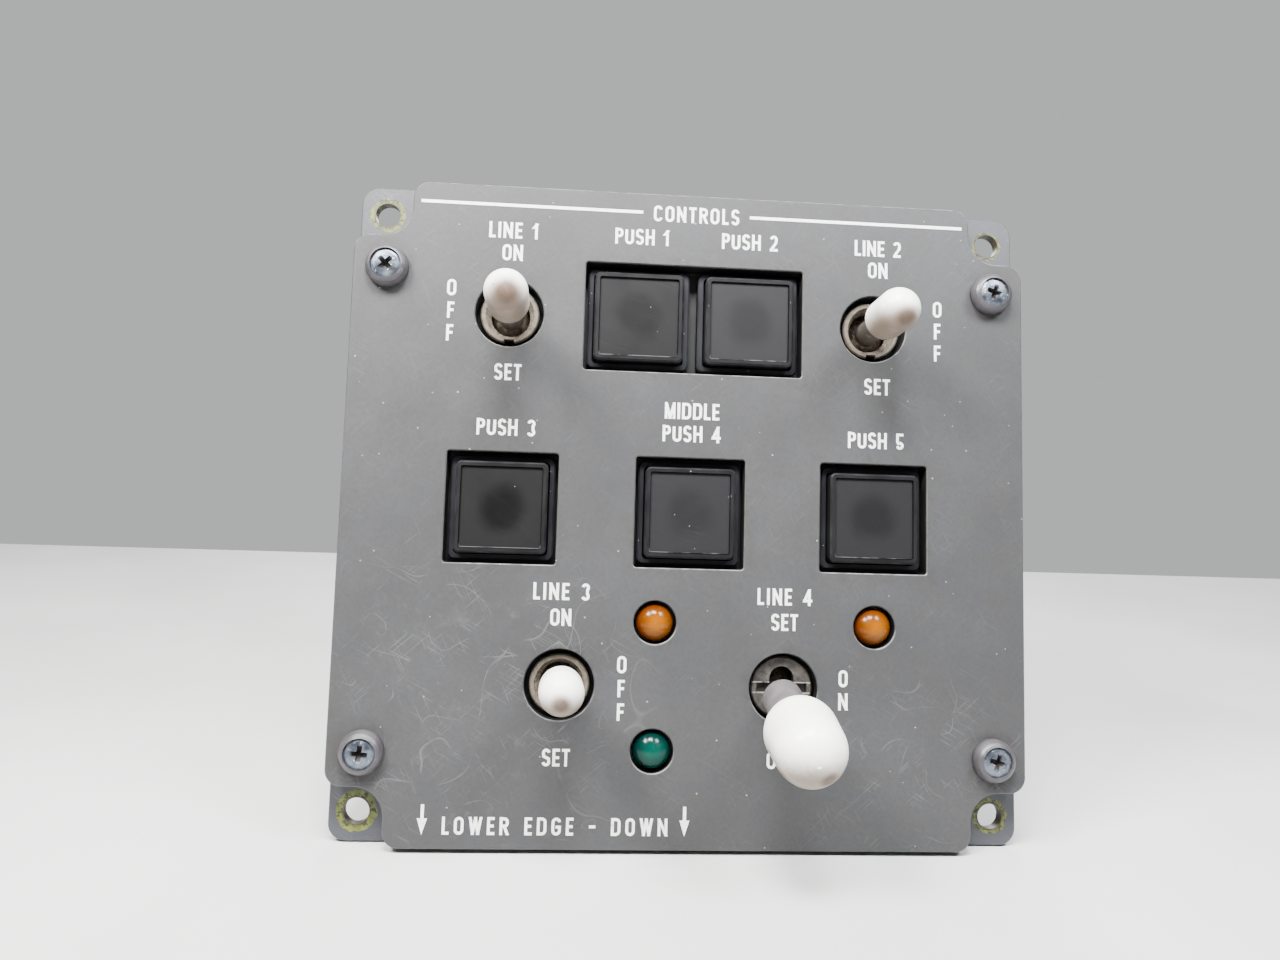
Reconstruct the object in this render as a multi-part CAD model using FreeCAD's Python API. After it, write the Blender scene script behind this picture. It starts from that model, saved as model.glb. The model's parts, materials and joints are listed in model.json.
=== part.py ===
import FreeCAD, Part
import math
import os

# An aircraft style electrical control panel: a grey lightplate with four toggle
# switches, five square pushbuttons and three indicator lamps, on a back plate
# with four corner ears, closed behind by a sheet metal chassis.
#
# Frame: +Z up, +X to the right, the panel faces -Y. The origin is the middle of
# the four mounting holes, on the rear face of the back plate. Units are mm.

# ---------------------------------------------------------------- plates
plate_width = 137.0
plate_height = 130.4
back_thickness = 2.3
light_thickness = 4.6
back_front = -back_thickness
face = back_front - light_thickness
ear_corner_r = 3.4
mount_pitch_x = 126.4
mount_pitch_z = 119.0
mount_hole_r = 2.5
notch_x = 57.25
notch_z = 53.85
notch_inner_r = 5.8
notch_outer_r = 3.2
edge_bevel = 0.2

# ---------------------------------------------------------------- controls, (x, z)
toggles = {
    "toggle_1": (-37.25, 39.0),
    "toggle_2": (37.0, 39.0),
    "toggle_3": (-24.8, -34.1),
    "lock_toggle": (19.35, -34.1),
}
buttons = {
    "button_1": (-11.27, 39.26),
    "button_2": (11.27, 39.26),
    "button_3": (-37.33, 0.0),
    "button_4": (0.0, 0.0),
    "button_5": (37.33, 0.0),
}
lamps = {
    "lamp_1": (-6.4, -21.72),
    "lamp_2": (37.6, -21.72),
    "lamp_3": (-6.4, -46.5),
}
running_gap = 0.06
working_gap = 0.3

# ---------------------------------------------------------------- lightplate screws
screw_x = 61.7
screw_z = 47.3
screw_shank_r = 1.7
screw_head_r = 2.92
screw_head_top = 2.55
screw_recess_reach = 1.75
screw_recess_depth = 1.7
screw_turns = {(-1, 1): 45.0, (1, 1): 18.0, (-1, -1): 6.0, (1, -1): 16.0}
collar_r = 4.25
collar_height = 2.6
light_nut_flats = 6.0
light_nut_height = 2.6

# ---------------------------------------------------------------- toggle switches
toggle_hole_r = 6.85
toggle_pocket_r = 8.9
toggle_pocket_depth = 2.0
thread_r = 5.9
thread_front = face + 1.4
thread_rear = 6.4
bushing_flange_r = 7.5
bushing_flange = 1.0
bushing_mouth_r = 4.9
bushing_lip_r = 3.95
bushing_lip = thread_front + 2.6
keyway_width = 2.0
keyway_depth = 0.85
pivot_y = face + 8.5
pivot_pin_r = 0.8
ball_r = 4.5
socket_r = 4.85
stub_r = 1.5
stub_length = 10.4
stem_r = 2.4
tip_r = 4.1
tip_base = 15.5
tip_centre = 23.2
lever_leans = {"toggle_1": 1.3, "toggle_2": -0.2, "toggle_3": 2.0, "lock_toggle": -0.7}
lever_lifts = {"toggle_1": 0.0, "toggle_2": 0.0, "toggle_3": 1.7}
toggle_nut_flats = 14.3
rear_nut_height = 2.5
front_nut_height = 1.6
washer_r = 8.4
washer_thickness = 0.8
case_width = 19.0
case_height = 28.0
case_depth = 22.0
case_cavity = 8.0

# ---------------------------------------------------------------- lever lock toggle
lock_angle = 12.8
lock_face = face + 1.8
lock_face_thickness = 2.0
lock_face_r = 6.15
lock_ball_r = 4.2
lock_stem_r = 2.1
slot_half_width = 2.45
slot_half_length = 4.2
detent_width = 1.9
detent_depth = 0.9
sleeve_r = 3.9
sleeve_start = 8.2
sleeve_in_knob = 5.0
knob_rear_centre = 25.1
knob_rear_r = 6.8
knob_front_centre = 31.4
knob_front_r = 6.45

# ---------------------------------------------------------------- pushbuttons
single_opening = 22.0
double_width = 44.5
double_height = 22.15
opening_r = 0.6
button_flange = 20.7
button_flange_front = face + 2.0
button_body = 19.2
button_body_rear = 22.0
button_bore = 16.2
cap_size = 18.0
cap_front = face - 0.6
cap_rear = -4.5
cap_bevel = 0.35
cap_plunger = 15.6
cap_plunger_rear = 4.0
button_travel = 2.2
button_recess_floor = cap_rear + button_travel + 0.5
lens_size = 16.1
lens_drop = 0.4
lens_thickness = 1.1
clamp_wall = 0.5
clamp_length = 12.0
switch_block_rear = 40.0

# ---------------------------------------------------------------- lamps
lamp_hole_r = 4.25
lamp_pocket_r = 5.8
lamp_pocket_depth = 1.2
lamp_flange_r = 5.4
lamp_flange = 0.9
lamp_body_r = 4.2
lamp_body_rear = 24.0
lamp_bore_r = 2.6
lamp_nut_flats = 12.0
lamp_nut_height = 2.5
lens_r = 3.78
lens_wall = 0.8
dome_height = 2.6
dome_top = face - 1.0
bulb_r = 1.9

# ---------------------------------------------------------------- chassis and cover
chassis_width = 116.0
chassis_height = 112.0
chassis_depth = 62.0
chassis_r = 3.0
sheet = 1.5
tab_length = 10.0
tab_depth = 6.2
tab_row = 52.1
tab_column = 54.1
tab_near_x = 27.0
tab_far_x = 47.5
tab_side_z = 20.0
small_screw_r = 1.25
small_hole_r = 1.35
flush_head_r = 2.4
clinch_r = 2.25
clinch_height = 2.4
cover_thickness = 1.6
cover_inset = 1.5
cover_front = chassis_depth
cover_rear = cover_front + cover_thickness
pan_head_r = 2.5
pan_head_height = 1.7

# ---------------------------------------------------------------- rear connector
connector_flange = 40.0
connector_flange_thickness = 3.0
connector_hole = 16.3
shell_r = 16.6
shell_bore_r = 15.2
insert_r = 14.1
neck_bore_r = 13.2
shell_length = 14.0
shell_neck_r = 15.6
shell_neck_front = 54.0
insert_recess = 8.0
lug_r = 1.3
lug_reach = 1.5
contact_r = 0.9
contact_bore_r = 0.5
contact_depth = 6.0
contact_rings = ((1, 0.0), (6, 4.2), (12, 8.4), (18, 12.6))

os.makedirs("parts", exist_ok=True)
point = FreeCAD.Vector
along_y = point(0, 1, 0)
along_x = point(1, 0, 0)


# ================================================================ shapes
def box(x0, x1, y0, y1, z0, z1):
    return Part.makeBox(x1 - x0, y1 - y0, z1 - z0, point(x0, y0, z0))


def rod(x, z, radius, y0, y1):
    """A round rod along Y."""
    return Part.makeCylinder(radius, y1 - y0, point(x, y0, z), along_y)


def cross_rod(x0, x1, y, z, radius):
    """A round rod along X."""
    return Part.makeCylinder(radius, x1 - x0, point(x0, y, z), along_x)


def tube(x, z, outer, inner, y0, y1):
    return rod(x, z, outer, y0, y1).cut(rod(x, z, inner, y0 - 1, y1 + 1))


def hexagon(x, z, flats, y0, y1):
    """A hexagonal bar along Y, measured across its flats."""
    corner_r = flats / math.sqrt(3)
    corners = []
    for step in range(7):
        angle = math.radians(60 * step)
        corners.append(point(x + corner_r * math.cos(angle), y0, z + corner_r * math.sin(angle)))
    face_of_bar = Part.Face(Part.makePolygon(corners))
    return face_of_bar.extrude(point(0, y1 - y0, 0))


def nut(x, z, flats, bore, y0, y1):
    """A hexagonal nut whose corners are turned off a little on both faces."""
    bevel = 0.08 * flats
    corner_r = flats / math.sqrt(3)
    round_stock = turned([(0, y0), (corner_r - bevel, y0), (corner_r, y0 + bevel * 0.6),
                          (corner_r, y1 - bevel * 0.6), (corner_r - bevel, y1), (0, y1)], x, z)
    return hexagon(x, z, flats, y0, y1).common(round_stock).cut(rod(x, z, bore, y0 - 1, y1 + 1))


def slab(x, z, width, height, radius, y0, y1):
    """A rounded rectangle extruded along Y."""
    block = box(x - width / 2, x + width / 2, y0, y1, z - height / 2, z + height / 2)
    upright = [edge for edge in block.Edges if edge.BoundBox.YLength > (y1 - y0) * 0.9]
    return block.makeFillet(radius, upright)


def turned(profile, x=0.0, z=0.0):
    """A turned shape: (radius, y) points spun about the line along Y through (x, z)."""
    corners = [point(x + radius, y, z) for radius, y in profile]
    blank = Part.Face(Part.makePolygon(corners + corners[:1]))
    return blank.revolve(point(x, 0, z), along_y, 360)


def rounded_outline(corners, y0, y1):
    """Square corners (x, z, radius) joined by straight edges, extruded along Y."""
    edges = []
    ends = []
    count = len(corners)
    for index, (x, z, radius) in enumerate(corners):
        here = point(x, y0, z)
        before = point(corners[index - 1][0], y0, corners[index - 1][1])
        after = point(corners[(index + 1) % count][0], y0, corners[(index + 1) % count][1])
        back = (before - here).normalize()
        ahead = (after - here).normalize()
        start = here + back * radius
        finish = here + ahead * radius
        middle = here + (back + ahead) * (radius * (1 - math.sqrt(0.5)))
        edges.append(Part.Arc(start, middle, finish).toShape())
        ends.append((start, finish))
    for index in range(count):
        edges.append(Part.LineSegment(ends[index - 1][1], ends[index][0]).toShape())
    outline = Part.Wire(Part.__sortEdges__(edges))
    return Part.Face(outline).extrude(point(0, y1 - y0, 0))


def bevel_face(shape, y, size):
    """Bevels every edge that lies in the plane at y."""
    rim = []
    for edge in shape.Edges:
        bounds = edge.BoundBox
        if abs(bounds.YMin - y) < 1e-4 and abs(bounds.YMax - y) < 1e-4:
            rim.append(edge)
    return shape.makeChamfer(size, rim)


def tilted(shape, x, z, degrees):
    """Swings a shape about a toggle's pivot; positive angles lift the lever."""
    swung = shape.copy()
    swung.rotate(point(x, pivot_y, z), along_x, -degrees)
    return swung


def leaning(shape, x, z, degrees):
    """Leans a lever sideways about its pivot, within its side play; positive angles go to +X."""
    leant = shape.copy()
    leant.rotate(point(x, pivot_y, z), point(0, 0, 1), degrees)
    return leant


def export(node, *shapes):
    Part.makeCompound(list(shapes)).exportStep("parts/" + node + ".step")


def corner_signs():
    return [(-1, 1), (1, 1), (-1, -1), (1, -1)]


# ================================================================ plates
def lightplate_outline():
    """The plate's outline, with a notch at each corner that clears a mounting hole."""
    corners = []
    for side_x, side_z in ((1, 1), (-1, 1), (-1, -1), (1, -1)):
        notch = [
            (side_x * plate_width / 2, side_z * notch_z, notch_outer_r),
            (side_x * notch_x, side_z * notch_z, notch_inner_r),
            (side_x * notch_x, side_z * plate_height / 2, notch_outer_r),
        ]
        if side_x * side_z < 0:
            notch.reverse()
        corners += notch
    return corners


def make_lightplate():
    plate = rounded_outline(lightplate_outline(), face, back_front)
    cutters = []
    double_z = buttons["button_1"][1]
    cutters.append(slab(0, double_z, double_width, double_height, opening_r, face - 1, 1))
    for node in ("button_3", "button_4", "button_5"):
        x, z = buttons[node]
        cutters.append(slab(x, z, single_opening, single_opening, opening_r, face - 1, 1))
    for x, z in toggles.values():
        cutters.append(rod(x, z, toggle_hole_r, face - 1, 1))
    for x, z in lamps.values():
        cutters.append(rod(x, z, lamp_hole_r, face - 1, 1))
    plate = bevel_face(plate.cut(cutters), face, edge_bevel)
    pockets = [rod(x, z, toggle_pocket_r, back_front - toggle_pocket_depth, 1) for x, z in toggles.values()]
    pockets += [rod(x, z, lamp_pocket_r, back_front - lamp_pocket_depth, 1) for x, z in lamps.values()]
    for side_x, side_z in corner_signs():
        pockets.append(rod(side_x * screw_x, side_z * screw_z, screw_shank_r + 0.15, face - 1, 1))
    export("lightplate", plate.cut(pockets))


def chassis_screw_places():
    places = []
    for side_x, side_z in corner_signs():
        places.append((side_x * tab_near_x, side_z * tab_row))
        places.append((side_x * tab_far_x, side_z * tab_row))
        places.append((side_x * tab_column, side_z * tab_side_z))
    return places


def make_back_plate():
    plate = slab(0, 0, plate_width, plate_height, ear_corner_r, back_front, 0)
    plate = bevel_face(plate, back_front, edge_bevel)
    cutters = []
    for side_x, side_z in corner_signs():
        cutters.append(rod(side_x * mount_pitch_x / 2, side_z * mount_pitch_z / 2, mount_hole_r, -5, 5))
        cutters.append(rod(side_x * screw_x, side_z * screw_z, screw_shank_r + 0.15, -5, 5))
    cutters += [rod(x, z, thread_r + 0.1, -5, 5) for x, z in toggles.values()]
    cutters += [rod(x, z, lamp_body_r + 0.1, -5, 5) for x, z in lamps.values()]
    for x, z in buttons.values():
        cutters.append(slab(x, z, button_body + 0.2, button_body + 0.2, 1.0, -5, 5))
    for x, z in chassis_screw_places():
        cutters.append(flush_seat(x, z))
    export("back_plate", plate.cut(cutters))


def flush_seat(x, z):
    """The countersunk hole for a flush chassis screw."""
    depth = flush_head_r - small_hole_r
    return turned([(0, back_front - 1), (flush_head_r + 0.05, back_front - 1),
                   (flush_head_r + 0.05, back_front), (small_hole_r, back_front + depth),
                   (small_hole_r, 5), (0, 5)], x, z)


# ================================================================ lightplate screws
def cross_recess(top_y, reach, depth):
    """A Phillips recess: four tapered wings that meet at the bottom, centred on X = Z = 0."""
    wing = 0.48
    bottom = top_y + depth
    cone = turned([(0, top_y - 1), (reach + 0.35, top_y - 1), (reach, top_y), (0.5, bottom), (0, bottom)])
    flat = box(-reach - 1, reach + 1, top_y - 1, bottom, -wing, wing)
    upright = box(-wing, wing, top_y - 1, bottom, -reach - 1, reach + 1)
    return flat.fuse(upright).common(cone)


def cross_head_screw(x, z, profile, top_y, reach, depth, turn):
    """A turned screw with a Phillips recess, spun by its own angle."""
    blank = turned(profile).cut(cross_recess(top_y, reach, depth))
    blank.rotate(point(0, 0, 0), along_y, turn)
    blank.translate(point(x, 0, z))
    return blank


def make_lightplate_screws():
    top = face - screw_head_top
    rim = top + 0.42
    seat = rim + 0.35
    neck = seat + (screw_head_r - screw_shank_r)
    end = light_nut_height + 1.5
    profile = [(0, top), (screw_head_r * 0.5, top + 0.08), (screw_head_r * 0.82, top + 0.22),
               (screw_head_r, rim), (screw_head_r, seat), (screw_shank_r, neck),
               (screw_shank_r, end - 0.6), (screw_shank_r - 0.5, end), (0, end)]
    screws = []
    collars = []
    nuts = []
    base = face
    shoulder = face - collar_height
    collar = [(screw_shank_r + 0.1, base), (collar_r, base), (collar_r, base - 0.9),
              (collar_r - 0.18, base - 1.5), (collar_r - 0.5, base - 2.05), (collar_r - 0.9, base - 2.42),
              (collar_r - 1.25, shoulder), (screw_head_r + 0.1, shoulder + 0.08),
              (screw_head_r + 0.06, rim), (screw_head_r + 0.06, seat + 0.03),
              (screw_shank_r + 0.1, neck + 0.03)]
    for signs in corner_signs():
        x = signs[0] * screw_x
        z = signs[1] * screw_z
        screws.append(cross_head_screw(x, z, profile, top, screw_recess_reach,
                                      screw_recess_depth, screw_turns[signs]))
        collars.append(turned(collar, x, z))
        nuts.append(nut(x, z, light_nut_flats, screw_shank_r, 0, light_nut_height))
    export("lightplate_screws", *screws)
    export("screw_collars", *collars)
    export("lightplate_nuts", *nuts)


# ================================================================ toggle switches
def bushing(x, z):
    """A threaded bushing with a dished mouth, a keyway below and holes for the pivot pin."""
    body = turned([
        (bushing_mouth_r, thread_front), (thread_r - 0.3, thread_front), (thread_r, thread_front + 0.3),
        (thread_r, thread_rear - bushing_flange), (bushing_flange_r, thread_rear - bushing_flange),
        (bushing_flange_r, thread_rear), (socket_r, thread_rear), (socket_r, bushing_lip + 0.4),
        (bushing_lip_r, bushing_lip), (bushing_mouth_r, thread_front + 0.7)], x, z)
    key = box(x - keyway_width / 2, x + keyway_width / 2, thread_front - 1, thread_rear - bushing_flange,
              z - thread_r - 1, z - thread_r + keyway_depth)
    return body.cut([key, pivot_hole(x, z, pivot_pin_r)])


def lock_bushing(x, z):
    """A bushing closed in front by a slotted face with a detent groove across it."""
    inner_face = lock_face + lock_face_thickness
    thread_start = back_front - front_nut_height - 0.1
    body = turned([
        (0, lock_face), (lock_face_r - 0.3, lock_face), (lock_face_r, lock_face + 0.3),
        (lock_face_r, thread_start), (thread_r, thread_start),
        (thread_r, thread_rear - bushing_flange), (bushing_flange_r, thread_rear - bushing_flange),
        (bushing_flange_r, thread_rear), (socket_r, thread_rear), (socket_r, inner_face),
        (0, inner_face)], x, z)
    slot = slab(x, z, 2 * slot_half_width, 2 * slot_half_length, slot_half_width - 0.01,
                lock_face - 1, inner_face + 1)
    groove = box(x - thread_r * 0.86, x + thread_r * 0.86, lock_face - 1, lock_face + detent_depth,
                 z - detent_width / 2, z + detent_width / 2)
    return body.cut([slot, groove, pivot_hole(x, z, pivot_pin_r)])


def pivot_hole(x, z, radius):
    return cross_rod(x - thread_r - 3, x + thread_r + 3, pivot_y, z, radius)


def lever_blank(x, z, ball, stem, length, lean):
    """A lever out along -Y: its ball, its stem, which may lean, and the stub that works the contacts."""
    ball_solid = Part.makeSphere(ball, point(x, pivot_y, z))
    stem_solid = leaning(rod(x, z, stem, pivot_y - length, pivot_y), x, z, lean)
    stub = rod(x, z, stub_r, pivot_y, pivot_y + stub_length - stub_r)
    stub_end = Part.makeSphere(stub_r, point(x, pivot_y + stub_length - stub_r, z))
    whole = ball_solid.fuse([stem_solid, stub, stub_end])
    return whole.cut(pivot_hole(x, z, pivot_pin_r + running_gap))


def capsule(x, z, rear_r, rear_at, front_r, front_at, bore_r, bore_end):
    """A round-ended grip from two spheres and the cone that is tangent to both, bored from behind."""
    lean = math.asin((rear_r - front_r) / (front_at - rear_at))
    front_y = pivot_y - front_at
    rear_y = pivot_y - rear_at

    def on_sphere(radius, centre_y, degrees):
        angle = math.radians(degrees)
        return point(x + radius * math.cos(angle), centre_y - radius * math.sin(angle), z)

    seam = math.degrees(lean)
    nose = Part.Arc(on_sphere(front_r, front_y, 90), on_sphere(front_r, front_y, 45 + seam / 2),
                    on_sphere(front_r, front_y, seam)).toShape()
    side = Part.LineSegment(on_sphere(front_r, front_y, seam), on_sphere(rear_r, rear_y, seam)).toShape()
    tail = Part.Arc(on_sphere(rear_r, rear_y, seam), on_sphere(rear_r, rear_y, -40),
                    on_sphere(rear_r, rear_y, -90)).toShape()
    axis = Part.LineSegment(on_sphere(rear_r, rear_y, -90), on_sphere(front_r, front_y, 90)).toShape()
    outline = Part.Face(Part.Wire([nose, side, tail, axis]))
    grip = outline.revolve(point(x, 0, z), along_y, 360)
    return grip.cut(rod(x, z, bore_r, pivot_y - bore_end, rear_y + rear_r + 1))


def small_tip(x, z):
    """The slip-on tip of a small toggle: a round nose, a straight side and a soft rear edge."""
    nose = Part.makeSphere(tip_r, point(x, pivot_y - tip_centre, z))
    barrel = rod(x, z, tip_r, pivot_y - tip_centre, pivot_y - tip_base)
    rear_edge = [edge for edge in barrel.Edges if abs(edge.BoundBox.YMin - (pivot_y - tip_base)) < 1e-4]
    barrel = barrel.makeFillet(0.7, rear_edge)
    return nose.fuse(barrel).removeSplitter().cut(rod(x, z, stem_r, pivot_y - tip_centre, 0))


def switch_case(x, z):
    """The switch body: a block with a cavity for the lever's stub and a waist round its sides."""
    rear = thread_rear + case_depth
    body = slab(x, z, case_width, case_height, 1.2, thread_rear, rear)
    body = bevel_face(body, rear, 0.6)
    waist = slab(x, z, case_width + 2, case_height + 2, 1.0, thread_rear + 3.0, thread_rear + 4.0)
    waist = waist.cut(slab(x, z, case_width - 1.0, case_height - 1.0, 1.0, thread_rear, rear))
    cavity = rod(x, z, socket_r, thread_rear - 1, thread_rear + case_cavity)
    return body.cut([waist, cavity])


def terminal_set(x, z):
    """Six screw terminals in two rows on the back of a switch."""
    rear = thread_rear + case_depth
    pieces = []
    for side in (-1, 1):
        for row in (-1, 0, 1):
            at_x = x + side * case_width * 0.24
            at_z = z + row * case_height * 0.31
            lug = box(at_x - 2.4, at_x + 2.4, rear, rear + 1.2, at_z - 2.6, at_z + 2.6)
            screw = rod(at_x, at_z, 1.9, rear + 1.2, rear + 3.0)
            slot = box(at_x - 3, at_x + 3, rear + 2.3, rear + 4, at_z - 0.3, at_z + 0.3)
            pieces.append(lug)
            pieces.append(screw.cut(slot))
    return pieces


def make_toggles():
    nuts = []
    washers = []
    pins = []
    terminals = []
    for node, (x, z) in toggles.items():
        locking = node == "lock_toggle"
        export(node + "_case", switch_case(x, z))
        export(node + "_bushing", lock_bushing(x, z) if locking else bushing(x, z))
        washers.append(tube(x, z, washer_r, thread_r, 0, washer_thickness))
        nuts.append(nut(x, z, toggle_nut_flats, thread_r, washer_thickness,
                        washer_thickness + rear_nut_height))
        nuts.append(nut(x, z, toggle_nut_flats, thread_r, back_front - front_nut_height, back_front))
        pins.append(cross_rod(x - thread_r + 0.1, x + thread_r - 0.1, pivot_y, z, pivot_pin_r))
        terminals += terminal_set(x, z)
        if locking:
            make_lock_lever(x, z)
        else:
            lean = lever_leans[node]
            lift = lever_lifts[node]
            lever = lever_blank(x, z, ball_r, stem_r, tip_centre, lean)
            export(node + "_lever", tilted(lever, x, z, lift))
            export(node + "_tip", tilted(leaning(small_tip(x, z), x, z, lean), x, z, lift))
    export("toggle_nuts", *nuts)
    export("toggle_washers", *washers)
    export("toggle_pivots", *pins)
    export("toggle_terminals", *terminals)


def make_lock_lever(x, z):
    """The long lever of the locking toggle, and the sleeve and knob that slide on it."""
    bore = lock_stem_r + running_gap
    sleeve_end = knob_rear_centre - knob_rear_r + sleeve_in_knob
    stem_end = knob_front_centre
    lean = lever_leans["lock_toggle"]
    lever = lever_blank(x, z, lock_ball_r, lock_stem_r, stem_end, lean)
    sleeve = turned([
        (bore, pivot_y - sleeve_start), (sleeve_r - 0.25, pivot_y - sleeve_start),
        (sleeve_r, pivot_y - sleeve_start - 0.25), (sleeve_r, pivot_y - sleeve_end),
        (bore, pivot_y - sleeve_end)], x, z)
    knob = capsule(x, z, knob_rear_r, knob_rear_centre, knob_front_r, knob_front_centre,
                   bore, stem_end + 1.0)
    knob = knob.cut(rod(x, z, sleeve_r, pivot_y - sleeve_end, pivot_y))
    export("lock_toggle_lever", tilted(lever, x, z, -lock_angle))
    export("lock_toggle_sleeve", tilted(leaning(sleeve, x, z, lean), x, z, -lock_angle))
    export("lock_toggle_knob", tilted(leaning(knob, x, z, lean), x, z, -lock_angle))


# ================================================================ pushbuttons
def button_housing(x, z):
    """A square housing with a front flange and a recess that the cap sinks into."""
    flange = slab(x, z, button_flange, button_flange, 1.3, button_flange_front, back_front)
    flange = bevel_face(flange, button_flange_front, 0.3)
    body = slab(x, z, button_body, button_body, 1.0, back_front, button_body_rear)
    recess_size = cap_size + 2 * working_gap
    recess = slab(x, z, recess_size, recess_size, 0.9, button_flange_front - 1, button_recess_floor)
    bore = slab(x, z, button_bore, button_bore, 0.6, button_recess_floor - 1, button_body_rear + 1)
    return flange.fuse(body).cut([recess, bore])


def button_cap(x, z):
    """A cap with a raised rim round its lens and a plunger behind."""
    head = slab(x, z, cap_size, cap_size, 1.1, cap_front, cap_rear)
    head = bevel_face(head, cap_front, cap_bevel)
    plunger = slab(x, z, cap_plunger, cap_plunger, 0.6, cap_rear, cap_plunger_rear)
    lens_floor = cap_front + lens_drop + lens_thickness
    pocket = slab(x, z, lens_size, lens_size, 0.4, cap_front - 1, lens_floor)
    hollow = slab(x, z, cap_plunger - 2.4, cap_plunger - 2.4, 0.4, lens_floor + 0.8, cap_plunger_rear + 1)
    return head.fuse(plunger).cut([pocket, hollow])


def button_lens(x, z):
    lens_front = cap_front + lens_drop
    lens = slab(x, z, lens_size - 0.06, lens_size - 0.06, 0.38, lens_front, lens_front + lens_thickness)
    return bevel_face(lens, lens_front, 0.12)


def button_clamp(x, z):
    """The thin sleeve that grips a housing against the back of the plate."""
    outer = slab(x, z, button_body + 2 * clamp_wall, button_body + 2 * clamp_wall, 1.4, 0, clamp_length)
    return outer.cut(slab(x, z, button_body, button_body, 1.0, -1, clamp_length + 1))


def switch_block(x, z):
    """The contact block behind a housing, with a row of solder pins on each side."""
    block = slab(x, z, button_body - 0.6, button_body - 0.6, 0.8, button_body_rear, switch_block_rear)
    block = bevel_face(block, switch_block_rear, 0.5)
    pins = []
    for side in (-1, 1):
        for row in (-1, 0, 1):
            at_x = x + side * 5.2
            at_z = z + row * 5.0
            pins.append(box(at_x - 0.9, at_x + 0.9, switch_block_rear, switch_block_rear + 4.0,
                            at_z - 0.25, at_z + 0.25))
    return [block] + pins


def make_buttons():
    clamps = []
    blocks = []
    for node, (x, z) in buttons.items():
        export(node + "_housing", button_housing(x, z))
        export(node + "_cap", button_cap(x, z))
        export(node + "_lens", button_lens(x, z))
        clamps.append(button_clamp(x, z))
        blocks += switch_block(x, z)
    export("button_clamps", *clamps)
    export("button_contact_blocks", *blocks)


# ================================================================ lamps
def lamp_holder(x, z):
    """A threaded lamp body, flanged in front, with a contact stud behind."""
    flange_front = back_front - lamp_flange
    body = turned([
        (0, lamp_body_rear - 2), (lamp_bore_r, lamp_body_rear - 2), (lamp_bore_r, flange_front),
        (lamp_flange_r, flange_front), (lamp_flange_r, back_front), (lamp_body_r, back_front),
        (lamp_body_r, lamp_body_rear), (1.2, lamp_body_rear), (1.2, lamp_body_rear + 3.5),
        (0, lamp_body_rear + 3.5)], x, z)
    return body


def dome_arc(x, z, radius, height, top):
    """Half of a dome's outline, from its middle to its edge."""
    curve_r = (radius ** 2 + height ** 2) / (2 * height)
    half = math.asin(radius / curve_r) / 2
    edge = point(x + radius, top + height, z)
    middle = point(x + curve_r * math.sin(half), top + curve_r * (1 - math.cos(half)), z)
    return Part.Arc(point(x, top, z), middle, edge).toShape()


def domed_rod(x, z, radius, height, top, base):
    """A rod along Y with a domed front."""
    dome = dome_arc(x, z, radius, height, top)
    side = Part.LineSegment(point(x + radius, top + height, z), point(x + radius, base, z)).toShape()
    floor = Part.LineSegment(point(x + radius, base, z), point(x, base, z)).toShape()
    axis = Part.LineSegment(point(x, base, z), point(x, top, z)).toShape()
    return Part.Face(Part.Wire([dome, side, floor, axis])).revolve(point(x, 0, z), along_y, 360)


def lamp_lens(x, z):
    base = back_front - lamp_flange
    outside = domed_rod(x, z, lens_r, dome_height, dome_top, base)
    inside = domed_rod(x, z, lens_r - lens_wall, dome_height - 0.5, dome_top + lens_wall, base + 1)
    return outside.cut(inside)


def make_lamps():
    nuts = []
    bulbs = []
    for node, (x, z) in lamps.items():
        export(node + "_holder", lamp_holder(x, z))
        export(node + "_lens", lamp_lens(x, z))
        nuts.append(nut(x, z, lamp_nut_flats, lamp_body_r, 0, lamp_nut_height))
        glass = domed_rod(x, z, bulb_r, bulb_r * 0.95, dome_top + 1.5, -1.0)
        base = rod(x, z, lamp_bore_r - 0.1, -1.0, 8.0)
        bulbs.append(glass.fuse(base))
    export("lamp_nuts", *nuts)
    export("lamp_bulbs", *bulbs)


# ================================================================ chassis
def chassis_tab(x, z):
    """A tab bent in from the chassis wall, flat against the back plate."""
    half = tab_length / 2
    inner_x = chassis_width / 2 - sheet / 2
    inner_z = chassis_height / 2 - sheet / 2
    if abs(z) > abs(x) * 0.9:
        low, high = sorted((math.copysign(inner_z, z), math.copysign(inner_z - tab_depth, z)))
        return box(x - half, x + half, 0, sheet, low, high)
    low, high = sorted((math.copysign(inner_x, x), math.copysign(inner_x - tab_depth, x)))
    return box(low, high, 0, sheet, z - half, z + half)


def cover_screw_places():
    return [(x, z) for x, z in chassis_screw_places() if abs(abs(x) - tab_near_x) > 1]


def make_chassis():
    walls = slab(0, 0, chassis_width, chassis_height, chassis_r, 0, chassis_depth)
    room = slab(0, 0, chassis_width - 2 * sheet, chassis_height - 2 * sheet, chassis_r - sheet,
                -1, chassis_depth - sheet)
    mouth = slab(0, 0, chassis_width - 2 * tab_depth, chassis_height - 2 * tab_depth, 2.0,
                 0, chassis_depth + 1)
    tabs = [chassis_tab(x, z) for x, z in chassis_screw_places()]
    holes = [rod(x, z, small_hole_r, -1, 5) for x, z in chassis_screw_places()]
    holes += [rod(x, z, small_hole_r, chassis_depth - 5, chassis_depth + 1) for x, z in cover_screw_places()]
    export("chassis", walls.cut([room, mouth]).fuse(tabs).removeSplitter().cut(holes))


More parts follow.
